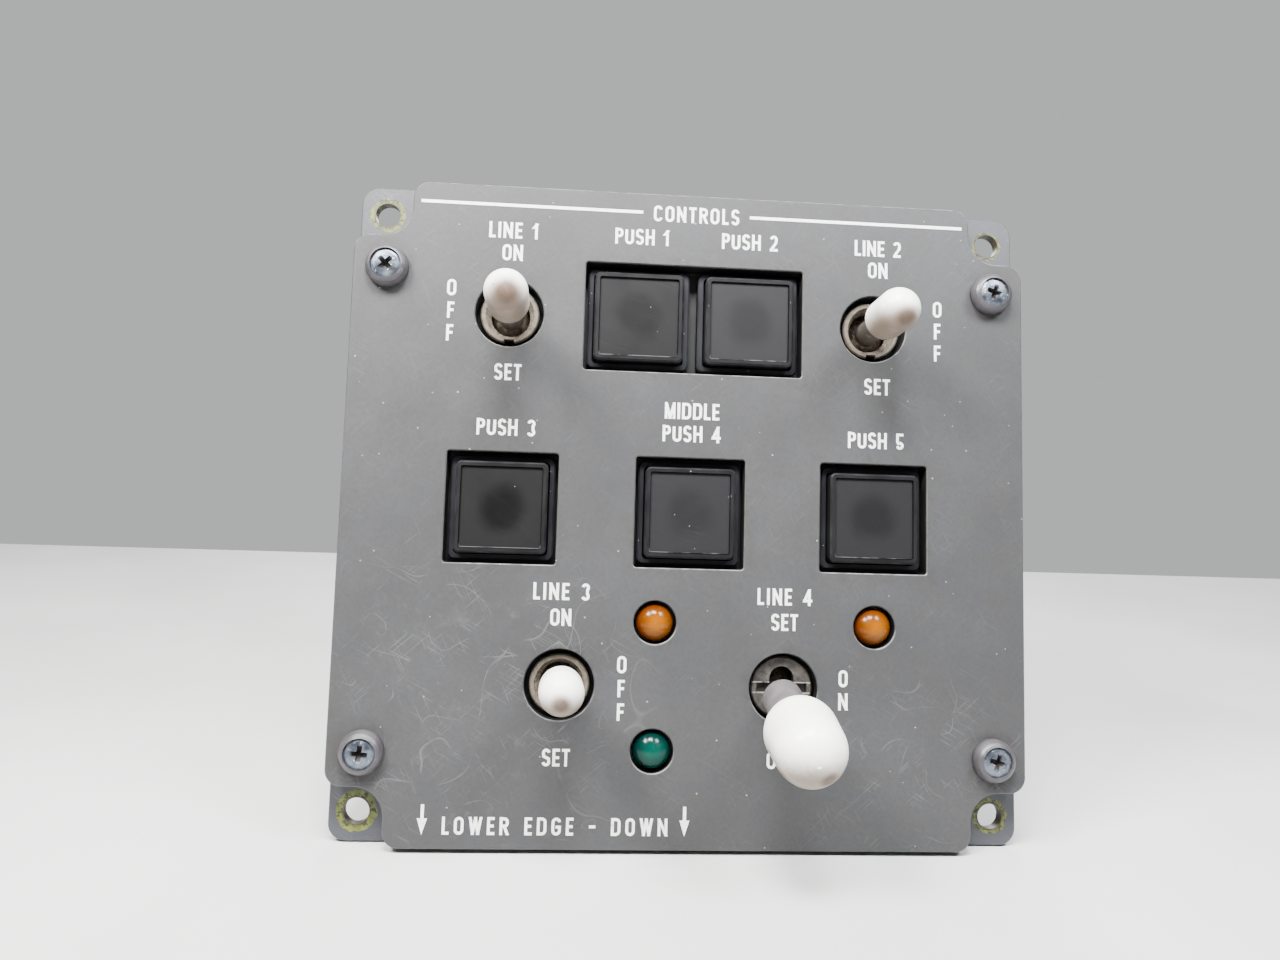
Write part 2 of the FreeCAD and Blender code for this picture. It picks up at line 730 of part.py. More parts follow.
def flush_screw(x, z):
    depth = flush_head_r - small_screw_r
    profile = [(0, back_front), (flush_head_r, back_front), (small_screw_r, back_front + depth),
               (small_screw_r, sheet + clinch_height + 0.6), (0, sheet + clinch_height + 0.6)]
    return turned(profile, x, z).cut(box(x - 2, x + 2, back_front - 1, back_front + 0.7, z - 0.3, z + 0.3))


def pan_screw(x, z, seat, end, turn, shank=small_screw_r, head=pan_head_r, height=pan_head_height):
    """A pan head screw that enters from behind: its head stands on the plane at seat."""
    top = seat + height
    profile = [(0, end), (shank, end), (shank, seat), (head, seat), (head, top - height * 0.45),
               (head * 0.86, top - height * 0.16), (head * 0.55, top), (0, top)]
    screw = cross_recess(-top, head * 0.55, height * 0.7)
    screw = screw.mirror(point(0, 0, 0), along_y)
    blank = turned(profile).cut(screw)
    blank.rotate(point(0, 0, 0), along_y, turn)
    blank.translate(point(x, 0, z))
    return blank


def make_chassis_fasteners():
    rear_nut = chassis_depth - sheet
    nuts = [tube(x, z, clinch_r, small_screw_r, sheet, sheet + clinch_height)
            for x, z in chassis_screw_places()]
    nuts += [tube(x, z, clinch_r, small_screw_r, rear_nut - clinch_height, rear_nut)
             for x, z in cover_screw_places()]
    export("chassis_screws", *[flush_screw(x, z) for x, z in chassis_screw_places()])
    export("chassis_nuts", *nuts)
    covers = []
    for index, (x, z) in enumerate(cover_screw_places()):
        covers.append(pan_screw(x, z, cover_rear, rear_nut - clinch_height - 0.6, 37 * index))
    export("cover_screws", *covers)


def make_rear_cover():
    cover = slab(0, 0, chassis_width - 2 * cover_inset, chassis_height - 2 * cover_inset, 2.0,
                 cover_front, cover_rear)
    cover = bevel_face(cover, cover_rear, 0.3)
    holes = [rod(x, z, small_hole_r, cover_front - 1, cover_rear + 1) for x, z in cover_screw_places()]
    holes.append(rod(0, 0, shell_neck_r + 0.1, cover_front - 1, cover_rear + 1))
    for side_x, side_z in corner_signs():
        holes.append(rod(side_x * connector_hole, side_z * connector_hole, small_hole_r,
                         cover_front - 1, cover_rear + 1))
    export("rear_cover", cover.cut(holes))


# ================================================================ connector
def make_connector():
    """A round box-mounting receptacle with socket contacts, on a square flange."""
    flange_rear = cover_rear + connector_flange_thickness
    mouth = flange_rear + shell_length
    insert_front = shell_neck_front + 2.0
    insert_rear = mouth - insert_recess
    flange = slab(0, 0, connector_flange, connector_flange, 4.0, cover_rear, flange_rear)
    flange = bevel_face(flange, flange_rear, 0.4)
    barrel = turned([(0, flange_rear - 0.1), (shell_r + 0.8, flange_rear - 0.1),
                     (shell_r + 0.8, flange_rear + 0.8), (shell_r, flange_rear + 1.4),
                     (shell_r, mouth - 0.5), (shell_r - 0.5, mouth), (0, mouth)])
    neck = rod(0, 0, shell_neck_r, shell_neck_front, cover_rear)
    shell = flange.fuse([barrel, neck])
    lugs = []
    for turn in (90, 210, 330):
        angle = math.radians(turn)
        outward = point(math.cos(angle), 0, math.sin(angle))
        start = outward * (shell_r - 0.4) + point(0, mouth - 5.0, 0)
        lugs.append(Part.makeCylinder(lug_r, lug_reach + 0.4, start, outward))
    cuts = [rod(0, 0, shell_bore_r, insert_rear, mouth + 1)]
    cuts.append(rod(0, 0, insert_r, insert_front, insert_rear + 1))
    cuts.append(rod(0, 0, neck_bore_r, 0, mouth))
    for side_x, side_z in corner_signs():
        cuts.append(rod(side_x * connector_hole, side_z * connector_hole, small_hole_r,
                        cover_rear - 1, flange_rear + 1))
    export("connector_shell", shell.fuse(lugs).cut(cuts))

    insert = rod(0, 0, insert_r, insert_front, insert_rear)
    sockets = []
    wells = []
    for count, ring_r in contact_rings:
        for step in range(count):
            angle = 2 * math.pi * (step + 0.5) / count
            x = ring_r * math.cos(angle)
            z = ring_r * math.sin(angle)
            wells.append(rod(x, z, contact_r, insert_rear - contact_depth - 2, insert_rear + 1))
            body = rod(x, z, contact_r, insert_rear - contact_depth - 2, insert_rear)
            sockets.append(body.cut(rod(x, z, contact_bore_r, insert_rear - contact_depth, insert_rear + 1)))
    export("connector_insert", insert.cut(wells))
    export("connector_contacts", *sockets)
    screws = []
    for index, (side_x, side_z) in enumerate(corner_signs()):
        screws.append(pan_screw(side_x * connector_hole, side_z * connector_hole, flange_rear,
                                cover_front - 2.0, 20 + 50 * index))
    export("connector_screws", *screws)


make_back_plate()
make_lightplate()
make_lightplate_screws()
make_toggles()
make_buttons()
make_lamps()
make_chassis()
make_chassis_fasteners()
make_rear_cover()
make_connector()
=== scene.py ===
import json
import math

import bmesh
import bpy
from mathutils import Euler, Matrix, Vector


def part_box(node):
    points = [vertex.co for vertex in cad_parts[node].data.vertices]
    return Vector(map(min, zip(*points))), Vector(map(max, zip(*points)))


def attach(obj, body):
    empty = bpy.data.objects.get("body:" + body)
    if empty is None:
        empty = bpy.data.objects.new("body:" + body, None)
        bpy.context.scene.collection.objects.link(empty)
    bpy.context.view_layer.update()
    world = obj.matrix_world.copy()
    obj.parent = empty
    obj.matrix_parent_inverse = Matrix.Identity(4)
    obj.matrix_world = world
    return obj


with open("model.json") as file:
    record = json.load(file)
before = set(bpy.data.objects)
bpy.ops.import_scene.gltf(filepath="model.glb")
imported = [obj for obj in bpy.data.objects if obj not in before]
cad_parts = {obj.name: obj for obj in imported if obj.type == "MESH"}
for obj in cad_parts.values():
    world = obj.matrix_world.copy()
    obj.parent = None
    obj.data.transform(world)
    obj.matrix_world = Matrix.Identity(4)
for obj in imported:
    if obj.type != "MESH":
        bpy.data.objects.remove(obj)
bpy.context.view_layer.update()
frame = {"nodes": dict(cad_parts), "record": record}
nodes = frame["nodes"]
MM = 0.001

# ---------------------------------------------------------------- places, from the frame
back_low, back_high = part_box("back_plate")
chassis_low, chassis_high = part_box("chassis")
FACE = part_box("lightplate")[0].y
TOGGLES = ("toggle_1", "toggle_2", "toggle_3", "lock_toggle")
SMALL_TOGGLES = TOGGLES[:3]
BUTTONS = ("button_1", "button_2", "button_3", "button_4", "button_5")
LAMPS = ("lamp_1", "lamp_2", "lamp_3")


def middle(node):
    low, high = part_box(node)
    return (low + high) / 2


TOGGLE_AT = {name: middle(name + "_bushing") for name in TOGGLES}
BUTTON_AT = {name: middle(name + "_housing") for name in BUTTONS}
LAMP_AT = {name: middle(name + "_lens") for name in LAMPS}
collar_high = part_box("screw_collars")[1]
COLLAR_R = 4.25 * MM
DOUBLE_HALF = (22.25 * MM, 11.08 * MM)
SINGLE_HALF = 11.0 * MM
SCREW_X = collar_high.x - COLLAR_R
SCREW_Z = collar_high.z - COLLAR_R
mount = frame["record"]["mounts"][0]
MOUNT_X = mount["dims"]["spacing_x_mm"] / 2 * MM
MOUNT_Z = mount["dims"]["spacing_y_mm"] / 2 * MM

# ---------------------------------------------------------------- camera, floor and lights
CAMERA_AT = Vector((-21.4, -180.9, -8.6)) * MM
CAMERA_TURN = [math.radians(angle) for angle in (94.886, -1.595, -3.838)]
CAMERA_LENS = 24.73


def make_camera():
    data = bpy.data.cameras.new("camera")
    data.lens = CAMERA_LENS
    data.sensor_width = 36.0
    data.clip_start = 0.01
    camera = bpy.data.objects.new("camera", data)
    camera.location = CAMERA_AT
    camera.rotation_euler = Euler(CAMERA_TURN, "XYZ")
    bpy.context.scene.collection.objects.link(camera)
    bpy.context.scene.camera = camera


def area_light(name, place, size, power, colour=(1.0, 1.0, 1.0), aim=(0.0, 0.0, 0.0)):
    data = bpy.data.lights.new(name, "AREA")
    data.shape = "RECTANGLE"
    data.size, data.size_y = size
    data.energy = power
    data.color = colour
    light = bpy.data.objects.new(name, data)
    light.location = place
    light.rotation_euler = (Vector(aim) - Vector(place)).to_track_quat("-Z", "Y").to_euler()
    bpy.context.scene.collection.objects.link(light)


def make_lights():
    """Three soft lights in front, one behind for the floor, a dim fill and a lighter backdrop."""
    area_light("light_left", (-0.22, -0.21, 0.26), (0.12, 0.12), 6.0, (1.0, 0.985, 0.955))
    area_light("light_top", (-0.03, -0.22, 0.31), (0.14, 0.10), 6.9)
    area_light("light_right", (0.21, -0.21, 0.27), (0.12, 0.12), 3.2, (0.94, 0.97, 1.0))
    area_light("light_back", (0.15, 0.85, 0.70), (0.8, 0.5), 22.0)
    world = bpy.data.worlds.new("world")
    world.use_nodes = True
    tree = world.node_tree
    fill = tree.nodes["Background"]
    fill.inputs["Color"].default_value = (0.86, 0.89, 0.93, 1.0)
    fill.inputs["Strength"].default_value = 0.28
    seen = tree.nodes.new("ShaderNodeBackground")
    seen.inputs["Color"].default_value = (0.86, 0.87, 0.88, 1.0)
    seen.inputs["Strength"].default_value = 0.62
    mix = tree.nodes.new("ShaderNodeMixShader")
    path = tree.nodes.new("ShaderNodeLightPath")
    tree.links.new(path.outputs["Is Camera Ray"], mix.inputs[0])
    tree.links.new(fill.outputs[0], mix.inputs[1])
    tree.links.new(seen.outputs[0], mix.inputs[2])
    tree.links.new(mix.outputs[0], tree.nodes["World Output"].inputs["Surface"])
    bpy.context.scene.world = world


# ---------------------------------------------------------------- node helpers
class Surface:
    """One procedural material: a Principled shader and short ways to add nodes to it."""

    def __init__(self, name, metallic=0.0, roughness=0.5, **settings):
        self.material = bpy.data.materials.new(name)
        self.material.use_nodes = True
        self.tree = self.material.node_tree
        self.shader = self.tree.nodes["Principled BSDF"]
        self.coords = self.tree.nodes.new("ShaderNodeTexCoord").outputs["Object"]
        self.split = None
        self.shader.inputs["Metallic"].default_value = metallic
        self.shader.inputs["Roughness"].default_value = roughness
        for key, value in settings.items():
            self.shader.inputs[key.replace("_", " ")].default_value = value

    def add(self, kind, **fields):
        node = self.tree.nodes.new(kind)
        for key, value in fields.items():
            setattr(node, key, value)
        return node

    def feed(self, socket, value):
        """Sets a socket to a number or colour, or joins it to another node's output."""
        if isinstance(value, bpy.types.NodeSocket):
            self.tree.links.new(value, socket)
        elif isinstance(value, (tuple, list)) and len(value) == 3 and len(socket.default_value) == 4:
            socket.default_value = (*value, 1.0)
        else:
            socket.default_value = value

    def math(self, operation, first, second=0.0, third=0.0, clamp=False):
        node = self.add("ShaderNodeMath", operation=operation, use_clamp=clamp)
        for socket, value in zip(node.inputs, (first, second, third)):
            self.feed(socket, value)
        return node.outputs[0]

    def axis(self, name):
        """One coordinate of the surface point, in metres in the row frame."""
        if self.split is None:
            self.split = self.add("ShaderNodeSeparateXYZ")
            self.feed(self.split.inputs[0], self.coords)
        return self.split.outputs[name]

    def moved(self, scale=(1.0, 1.0, 1.0), turn=(0.0, 0.0, 0.0), shift=(0.0, 0.0, 0.0)):
        node = self.add("ShaderNodeMapping")
        self.feed(node.inputs["Vector"], self.coords)
        self.feed(node.inputs["Scale"], scale)
        self.feed(node.inputs["Rotation"], [math.radians(angle) for angle in turn])
        self.feed(node.inputs["Location"], shift)
        return node.outputs[0]

    def noise(self, scale, detail=3.0, roughness=0.55, vector=None, distortion=0.0):
        node = self.add("ShaderNodeTexNoise")
        self.feed(node.inputs["Vector"], vector or self.coords)
        self.feed(node.inputs["Scale"], scale)
        self.feed(node.inputs["Detail"], detail)
        self.feed(node.inputs["Roughness"], roughness)
        self.feed(node.inputs["Distortion"], distortion)
        return node.outputs[0]

    def span(self, value, low, high, out_low=0.0, out_high=1.0, smooth=True):
        """Maps low..high to out_low..out_high and holds the ends."""
        node = self.add("ShaderNodeMapRange", interpolation_type="SMOOTHSTEP" if smooth else "LINEAR")
        self.feed(node.inputs["Value"], value)
        for key, number in (("From Min", low), ("From Max", high), ("To Min", out_low), ("To Max", out_high)):
            self.feed(node.inputs[key], number)
        return node.outputs[0]

    def mix(self, amount, first, second):
        node = self.add("ShaderNodeMix", data_type="RGBA")
        self.feed(node.inputs["Factor"], amount)
        self.feed(node.inputs[6], first)
        self.feed(node.inputs[7], second)
        return node.outputs[2]

    def distance(self, x, z):
        """Distance from a line along Y through (x, z)."""
        across = self.math("SUBTRACT", self.axis("X"), x)
        up = self.math("SUBTRACT", self.axis("Z"), z)
        squares = self.math("ADD", self.math("MULTIPLY", across, across), self.math("MULTIPLY", up, up))
        return self.math("SQRT", squares)

    def folded_distance(self, x, z):
        """The same for four lines at (+-x, +-z) at once."""
        across = self.math("SUBTRACT", self.math("ABSOLUTE", self.axis("X")), x)
        up = self.math("SUBTRACT", self.math("ABSOLUTE", self.axis("Z")), z)
        squares = self.math("ADD", self.math("MULTIPLY", across, across), self.math("MULTIPLY", up, up))
        return self.math("SQRT", squares)

    def point_distance(self, place):
        node = self.add("ShaderNodeVectorMath", operation="DISTANCE")
        self.feed(node.inputs[0], self.coords)
        self.feed(node.inputs[1], tuple(place))
        return node.outputs["Value"]

    def square_distance(self, x, z, half_x, half_z):
        """How far a point lies outside a rectangle in the XZ plane; negative inside."""
        from_x = self.math("ABSOLUTE", self.math("SUBTRACT", self.axis("X"), x))
        from_z = self.math("ABSOLUTE", self.math("SUBTRACT", self.axis("Z"), z))
        across = self.math("SUBTRACT", from_x, half_x)
        up = self.math("SUBTRACT", from_z, half_z)
        return self.math("MAXIMUM", across, up)

    def most(self, values):
        result = values[0]
        for value in values[1:]:
            result = self.math("MAXIMUM", result, value)
        return result

    def normal_part(self, name):
        node = self.add("ShaderNodeSeparateXYZ")
        source = self.add("ShaderNodeTexCoord").outputs["Normal"]
        self.feed(node.inputs[0], source)
        return node.outputs[name]

    def streaks(self, turn, length, width, low, high, seed=0.0):
        """Fine straight scratches on the XZ plane: noise stretched along one direction."""
        node = self.add("ShaderNodeMapping", vector_type="TEXTURE")
        self.feed(node.inputs["Vector"], self.coords)
        self.feed(node.inputs["Location"], (seed, seed, seed))
        self.feed(node.inputs["Rotation"], (0.0, math.radians(turn), 0.0))
        self.feed(node.inputs["Scale"], (length, width, width))
        return self.span(self.noise(1.0, detail=1.0, roughness=0.4, vector=node.outputs[0]), low, high)

    def hairlines(self, scale, width, seed):
        """Fine wandering lines: where a slow noise passes through its middle value."""
        slow = self.noise(scale, detail=1.5, roughness=0.45, vector=self.moved(shift=(seed, seed, seed)))
        return self.span(self.math("ABSOLUTE", self.math("SUBTRACT", slow, 0.5)), 0.0, width, 1.0, 0.0)

    def bump(self, height, distance, strength=1.0, normal=None):
        node = self.add("ShaderNodeBump")
        self.feed(node.inputs["Height"], height)
        self.feed(node.inputs["Distance"], distance)
        self.feed(node.inputs["Strength"], strength)
        if normal is not None:
            self.feed(node.inputs["Normal"], normal)
        return node.outputs[0]

    def finish(self, colour=None, roughness=None, normal=None):
        if colour is not None:
            self.feed(self.shader.inputs["Base Color"], colour)
        if roughness is not None:
            self.feed(self.shader.inputs["Roughness"], roughness)
        if normal is not None:
            self.feed(self.shader.inputs["Normal"], normal)
        return self.material


def dress(material, *names):
    for name in names:
        slots = nodes[name].data.materials
        slots.clear()
        slots.append(material)


# ---------------------------------------------------------------- the plates
def opening_rects():
    """The square openings of the lightplate as (x, z, half width, half height)."""
    double_x = (BUTTON_AT["button_1"].x + BUTTON_AT["button_2"].x) / 2
    rects = [(double_x, BUTTON_AT["button_1"].z, *DOUBLE_HALF)]
    for name in BUTTONS[2:]:
        rects.append((BUTTON_AT[name].x, BUTTON_AT[name].z, SINGLE_HALF, SINGLE_HALF))
    return rects


def specks(s, scale, low, size):
    """Small round crumbs: the middles of scattered cells, most of them empty."""
    dots = s.add("ShaderNodeTexVoronoi", voronoi_dimensions="3D")
    s.feed(dots.inputs["Vector"], s.coords)
    s.feed(dots.inputs["Scale"], scale)
    reach = s.span(dots.outputs["Color"], low, 1.0, 0.0, size, smooth=False)
    return s.math("LESS_THAN", dots.outputs["Distance"], reach)


def lightplate_material():
    """Grey paint, soiled round the controls, scratched and speckled, with painted highlights on its
    upward-facing bevels and painted shade, near black, on the walls inside its openings.
    """
    s = Surface("lightplate_paint", Specular_IOR_Level=0.35)
    base = Vector((0.0350, 0.0355, 0.0376))
    cloud = s.noise(38.0, detail=5.0, roughness=0.6)
    grain = s.noise(1500.0, detail=3.0)
    colour = s.mix(s.span(cloud, 0.3, 0.7), tuple(base * 0.90), tuple(base * 1.10))
    warm = s.span(s.noise(210.0, detail=4.0), 0.35, 0.70, 0.0, 0.35)
    colour = s.mix(warm, colour, (0.0350, 0.0332, 0.0300))
    colour = s.mix(s.span(grain, 0.35, 0.75, 0.0, 0.32), colour, tuple(base * 0.60))

    near_rects = [s.span(s.square_distance(*rect), 0.0, 3.2 * MM, 1.0, 0.0) for rect in opening_rects()]
    near_holes = [s.span(s.distance(p.x, p.z), 6.8 * MM, 10.0 * MM, 1.0, 0.0) for p in TOGGLE_AT.values()]
    near_lamps = [s.span(s.distance(p.x, p.z), 4.2 * MM, 6.2 * MM, 0.8, 0.0) for p in LAMP_AT.values()]
    round_collars = s.span(s.folded_distance(SCREW_X, SCREW_Z), COLLAR_R, 7.6 * MM, 1.0, 0.0)
    grime = s.most(near_rects + near_holes + near_lamps + [round_collars])
    grime = s.math("MULTIPLY", grime, s.span(s.noise(260.0, detail=5.0, roughness=0.65), 0.36, 0.68))
    colour = s.mix(s.math("MULTIPLY", grime, 0.50), colour, (0.0165, 0.0140, 0.0115))

    lower_left = s.span(s.point_distance((-40 * MM, FACE, -36 * MM)), 12 * MM, 46 * MM, 1.0, 0.0)
    lower_right = s.span(s.point_distance((48 * MM, FACE, -52 * MM)), 6 * MM, 36 * MM, 0.9, 0.0)
    worn = s.most([lower_left, lower_right, 0.30])
    straight = s.most([
        s.streaks(28, 9 * MM, 0.15 * MM, 0.69, 0.74, 1.3), s.streaks(-42, 7 * MM, 0.13 * MM, 0.69, 0.74, 4.1),
        s.streaks(64, 8 * MM, 0.14 * MM, 0.69, 0.74, 7.7)])
    curved = s.most([
        s.hairlines(26.0, 0.0018, 3.1), s.hairlines(40.0, 0.0024, 8.4), s.hairlines(58.0, 0.0026, 5.7)])
    broken = s.span(s.noise(130.0), 0.44, 0.60)
    rubbed = s.most([lower_left, lower_right, 0.08])
    scratches = s.math("MAXIMUM", s.math("MULTIPLY", straight, worn), s.math("MULTIPLY", curved, rubbed))
    scratches = s.math("MULTIPLY", scratches, broken)
    colour = s.mix(s.math("MULTIPLY", scratches, 0.60), colour, (0.105, 0.105, 0.108))
    scuff = s.math("MULTIPLY", s.span(s.noise(170.0, detail=6.0, roughness=0.75), 0.56, 0.72), lower_left)
    colour = s.mix(s.math("MULTIPLY", scuff, 0.30), colour, (0.085, 0.085, 0.088))
    colour = s.mix(s.math("MULTIPLY", specks(s, 300.0, 0.42, 0.060), 0.85), colour, (0.25, 0.25, 0.24))
    colour = s.mix(s.math("MULTIPLY", specks(s, 260.0, 0.55, 0.045), 0.65), colour, (0.009, 0.008, 0.007))

    # Lighter bevels: part chipped paint, part painted highlight, stronger on the upward-facing bevels where
    # light from above falls.
    facing = s.math("ABSOLUTE", s.normal_part("Y"))
    highlit_bevel = s.math("MULTIPLY", s.span(facing, 0.25, 0.45), s.span(facing, 0.85, 0.97, 1.0, 0.0))
    highlit_bevel = s.math("MULTIPLY", highlit_bevel, s.span(s.normal_part("Z"), -0.1, 0.5, 0.15, 1.0))
    chipped = s.math("MULTIPLY", highlit_bevel, s.span(s.noise(420.0, detail=3.0), 0.38, 0.60, 0.2, 1.0))
    colour = s.mix(s.math("MULTIPLY", chipped, 0.80), colour, (0.13, 0.13, 0.13))
    # Painted shade: the walls inside the openings go near black.
    sunk = s.span(s.axis("Y"), FACE + 0.25 * MM, FACE + 0.60 * MM)
    inner = s.span(s.square_distance(0.0, 0.0, 56.0 * MM, 52.8 * MM), -0.1 * MM, 0.1 * MM, 1.0, 0.0)
    colour = s.mix(s.math("MULTIPLY", sunk, inner), colour, (0.0035, 0.0033, 0.0032))
    roughness = s.span(s.math("ADD", cloud, s.math("MULTIPLY", grime, 0.5)), 0.3, 1.1, 0.46, 0.64)
    roughness = s.math("SUBTRACT", roughness, s.math("MULTIPLY", scratches, 0.12))
    height = s.math("SUBTRACT", s.math("MULTIPLY", grain, 0.5), s.math("MULTIPLY", scratches, 0.7))
    return s.finish(colour, roughness, s.bump(height, 0.05 * MM, 0.5))


def back_plate_material():
    """Bluish grey paint, with rings of bare conversion coat round the mounting holes, and painted shade, near
    black, on the front face under the lightplate.
    """
    s = Surface("back_plate_paint", Specular_IOR_Level=0.4)
    cloud = s.noise(70.0, detail=4.0)
    colour = s.mix(s.span(cloud, 0.3, 0.7), (0.034, 0.0345, 0.0415), (0.042, 0.0425, 0.0500))
    marks = s.most([s.streaks(35, 6 * MM, 0.14 * MM, 0.66, 0.71, 3.0), s.hairlines(120.0, 0.004, 2.2)])
    colour = s.mix(s.math("MULTIPLY", marks, 0.40), colour, (0.10, 0.10, 0.106))
    wobble = s.math("MULTIPLY", s.math("SUBTRACT", s.noise(800.0, detail=4.0), 0.5), 1.3 * MM)
    ragged = s.math("ADD", s.folded_distance(MOUNT_X, MOUNT_Z), wobble)
    outer = s.math("ADD", s.span(s.axis("Z"), -60 * MM, 60 * MM, 3.75 * MM, 3.30 * MM, smooth=False),
                   s.span(s.axis("X"), -60 * MM, 60 * MM, 0.25 * MM, -0.25 * MM, smooth=False))
    ring = s.span(s.math("SUBTRACT", ragged, outer), -0.08 * MM, 0.08 * MM, 1.0, 0.0)
    tint = s.mix(s.span(s.noise(700.0, detail=4.0), 0.35, 0.65), (0.070, 0.084, 0.008), (0.120, 0.136, 0.020))
    colour = s.mix(s.math("MULTIPLY", ring, 0.9), colour, tint)
    dirt = s.math("MULTIPLY", ring, s.span(s.noise(900.0, detail=5.0, roughness=0.7), 0.49, 0.57))
    colour = s.mix(s.math("MULTIPLY", dirt, 0.92), colour, (0.0060, 0.0038, 0.0028))
    bare = s.span(ragged, 2.65 * MM, 2.90 * MM, 1.0, 0.0)
    colour = s.mix(s.math("MULTIPLY", bare, 0.8), colour, (0.028, 0.019, 0.014))
    # Painted shade: the front face under the lightplate, seen only through narrow gaps, goes near black.
    covered = s.span(s.square_distance(0.0, 0.0, 56.5 * MM, 53.2 * MM), -0.2 * MM, 0.2 * MM, 1.0, 0.0)
    front = s.span(s.axis("Y"), -0.5 * MM, -1.0 * MM)
    colour = s.mix(s.math("MULTIPLY", covered, front), colour, (0.004, 0.004, 0.004))
    behind = s.span(s.axis("Y"), -0.1 * MM, 0.0)
    colour = s.mix(s.math("MULTIPLY", behind, 0.55), colour, (0.20, 0.205, 0.18))
    roughness = s.span(cloud, 0.3, 0.7, 0.40, 0.56)
    return s.finish(colour, roughness, s.bump(s.noise(1600.0), 0.03 * MM, 0.4))


# ---------------------------------------------------------------- metals
def worn_metal(name, light, dark, low_rough, high_rough, scale=500.0, metallic=1.0,
               dirt=(0.05, 0.035, 0.025), dirt_amount=0.4):
    """Plated metal with cloudy tarnish, fine scratches and a little dirt."""
    s = Surface(name, metallic=metallic)
    cloud = s.noise(scale, detail=5.0, roughness=0.65)
    colour = s.mix(s.span(cloud, 0.32, 0.68), dark, light)
    spots = s.span(s.noise(scale * 0.45, detail=5.0, roughness=0.75), 0.56, 0.72)
    colour = s.mix(s.math("MULTIPLY", spots, dirt_amount), colour, dirt)
    scratches = s.most([s.streaks(15, 4 * MM, 0.07 * MM, 0.62, 0.70, 1.0),
                        s.streaks(-52, 3 * MM, 0.07 * MM, 0.63, 0.71, 5.0)])
    roughness = s.span(cloud, 0.3, 0.7, low_rough, high_rough)
    roughness = s.math("ADD", roughness, s.math("MULTIPLY", spots, 0.2))
    height = s.math("SUBTRACT", s.math("MULTIPLY", cloud, 0.5), s.math("MULTIPLY", scratches, 0.5))
    return s.finish(colour, roughness, s.bump(height, 0.03 * MM, 0.5))


def nut_material():
    """Zinc plate behind the panel, with painted shade, near black, on the nuts that sit in the lightplate's
    pockets.
    """
    s = Surface("toggle_nut_zinc", metallic=0.8)
    cloud = s.noise(500.0, detail=5.0, roughness=0.65)
    colour = s.mix(s.span(cloud, 0.3, 0.7), (0.36, 0.37, 0.39), (0.60, 0.61, 0.62))
    # Painted shade: the nuts in front of the back plate, seen only through the gap round the bushings, go
    # near black.
    front = s.span(s.axis("Y"), -0.4 * MM, -1.2 * MM)
    colour = s.mix(front, colour, (0.004, 0.004, 0.004))
    roughness = s.math("ADD", s.span(cloud, 0.3, 0.7, 0.30, 0.45), s.math("MULTIPLY", front, 0.3))
    return s.finish(colour, roughness, s.bump(cloud, 0.03 * MM, 0.5))


def screw_material():
    """Blue-white zinc plate, with dark dirt packed into the cross recess."""
    s = Surface("screw_zinc")
    cloud = s.noise(700.0, detail=4.0)
    colour = s.mix(s.span(cloud, 0.3, 0.7), (0.075, 0.088, 0.115), (0.165, 0.188, 0.225))
    nicks = s.span(s.noise(1500.0, detail=2.0), 0.64, 0.70)
    colour = s.mix(s.math("MULTIPLY", nicks, 0.7), colour, (0.70, 0.70, 0.70))
    tarnish = s.span(s.noise(420.0, detail=5.0, roughness=0.7), 0.54, 0.68)
    colour = s.mix(s.math("MULTIPLY", tarnish, 0.6), colour, (0.060, 0.052, 0.046))
    head_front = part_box("lightplate_screws")[0].y
    sunk = s.span(s.axis("Y"), head_front + 0.26 * MM, head_front + 0.60 * MM)
    inside = s.span(s.folded_distance(SCREW_X, SCREW_Z), 1.80 * MM, 2.00 * MM, 1.0, 0.0)
    packed = s.math("MULTIPLY", sunk, inside)
    colour = s.mix(packed, colour, (0.012, 0.008, 0.005))
    s.feed(s.shader.inputs["Metallic"], s.math("SUBTRACT", 0.85, s.math("MULTIPLY", packed, 0.85)))
    roughness = s.math("ADD", s.span(cloud, 0.3, 0.7, 0.28, 0.44), s.math("MULTIPLY", packed, 0.4))
    return s.finish(colour, roughness, s.bump(s.math("SUBTRACT", cloud, nicks), 0.04 * MM, 0.6))


def collar_material():
    """Grey paint with a purplish cast, grime at its foot and rubbed spots."""
    s = Surface("collar_paint")
    cloud = s.noise(220.0, detail=4.0)
    colour = s.mix(s.span(cloud, 0.3, 0.7), (0.0300, 0.0275, 0.0315), (0.0430, 0.0395, 0.0440))
    foot = s.span(s.axis("Y"), FACE - 1.0 * MM, FACE - 0.05 * MM)
    soiled = s.math("MULTIPLY", foot, s.span(s.noise(420.0, detail=4.0), 0.35, 0.6, 0.35, 1.0))
    colour = s.mix(s.math("MULTIPLY", soiled, 0.85), colour, (0.0085, 0.0065, 0.0055))
    rub = s.span(s.noise(600.0, detail=4.0), 0.60, 0.70)
    colour = s.mix(s.math("MULTIPLY", rub, 0.40), colour, (0.10, 0.098, 0.10))
    colour = s.mix(s.math("MULTIPLY", specks(s, 700.0, 0.45, 0.10), 0.7), colour, (0.34, 0.31, 0.26))
    return s.finish(colour, s.span(cloud, 0.3, 0.7, 0.34, 0.50), s.bump(s.noise(1300.0), 0.02 * MM, 0.4))


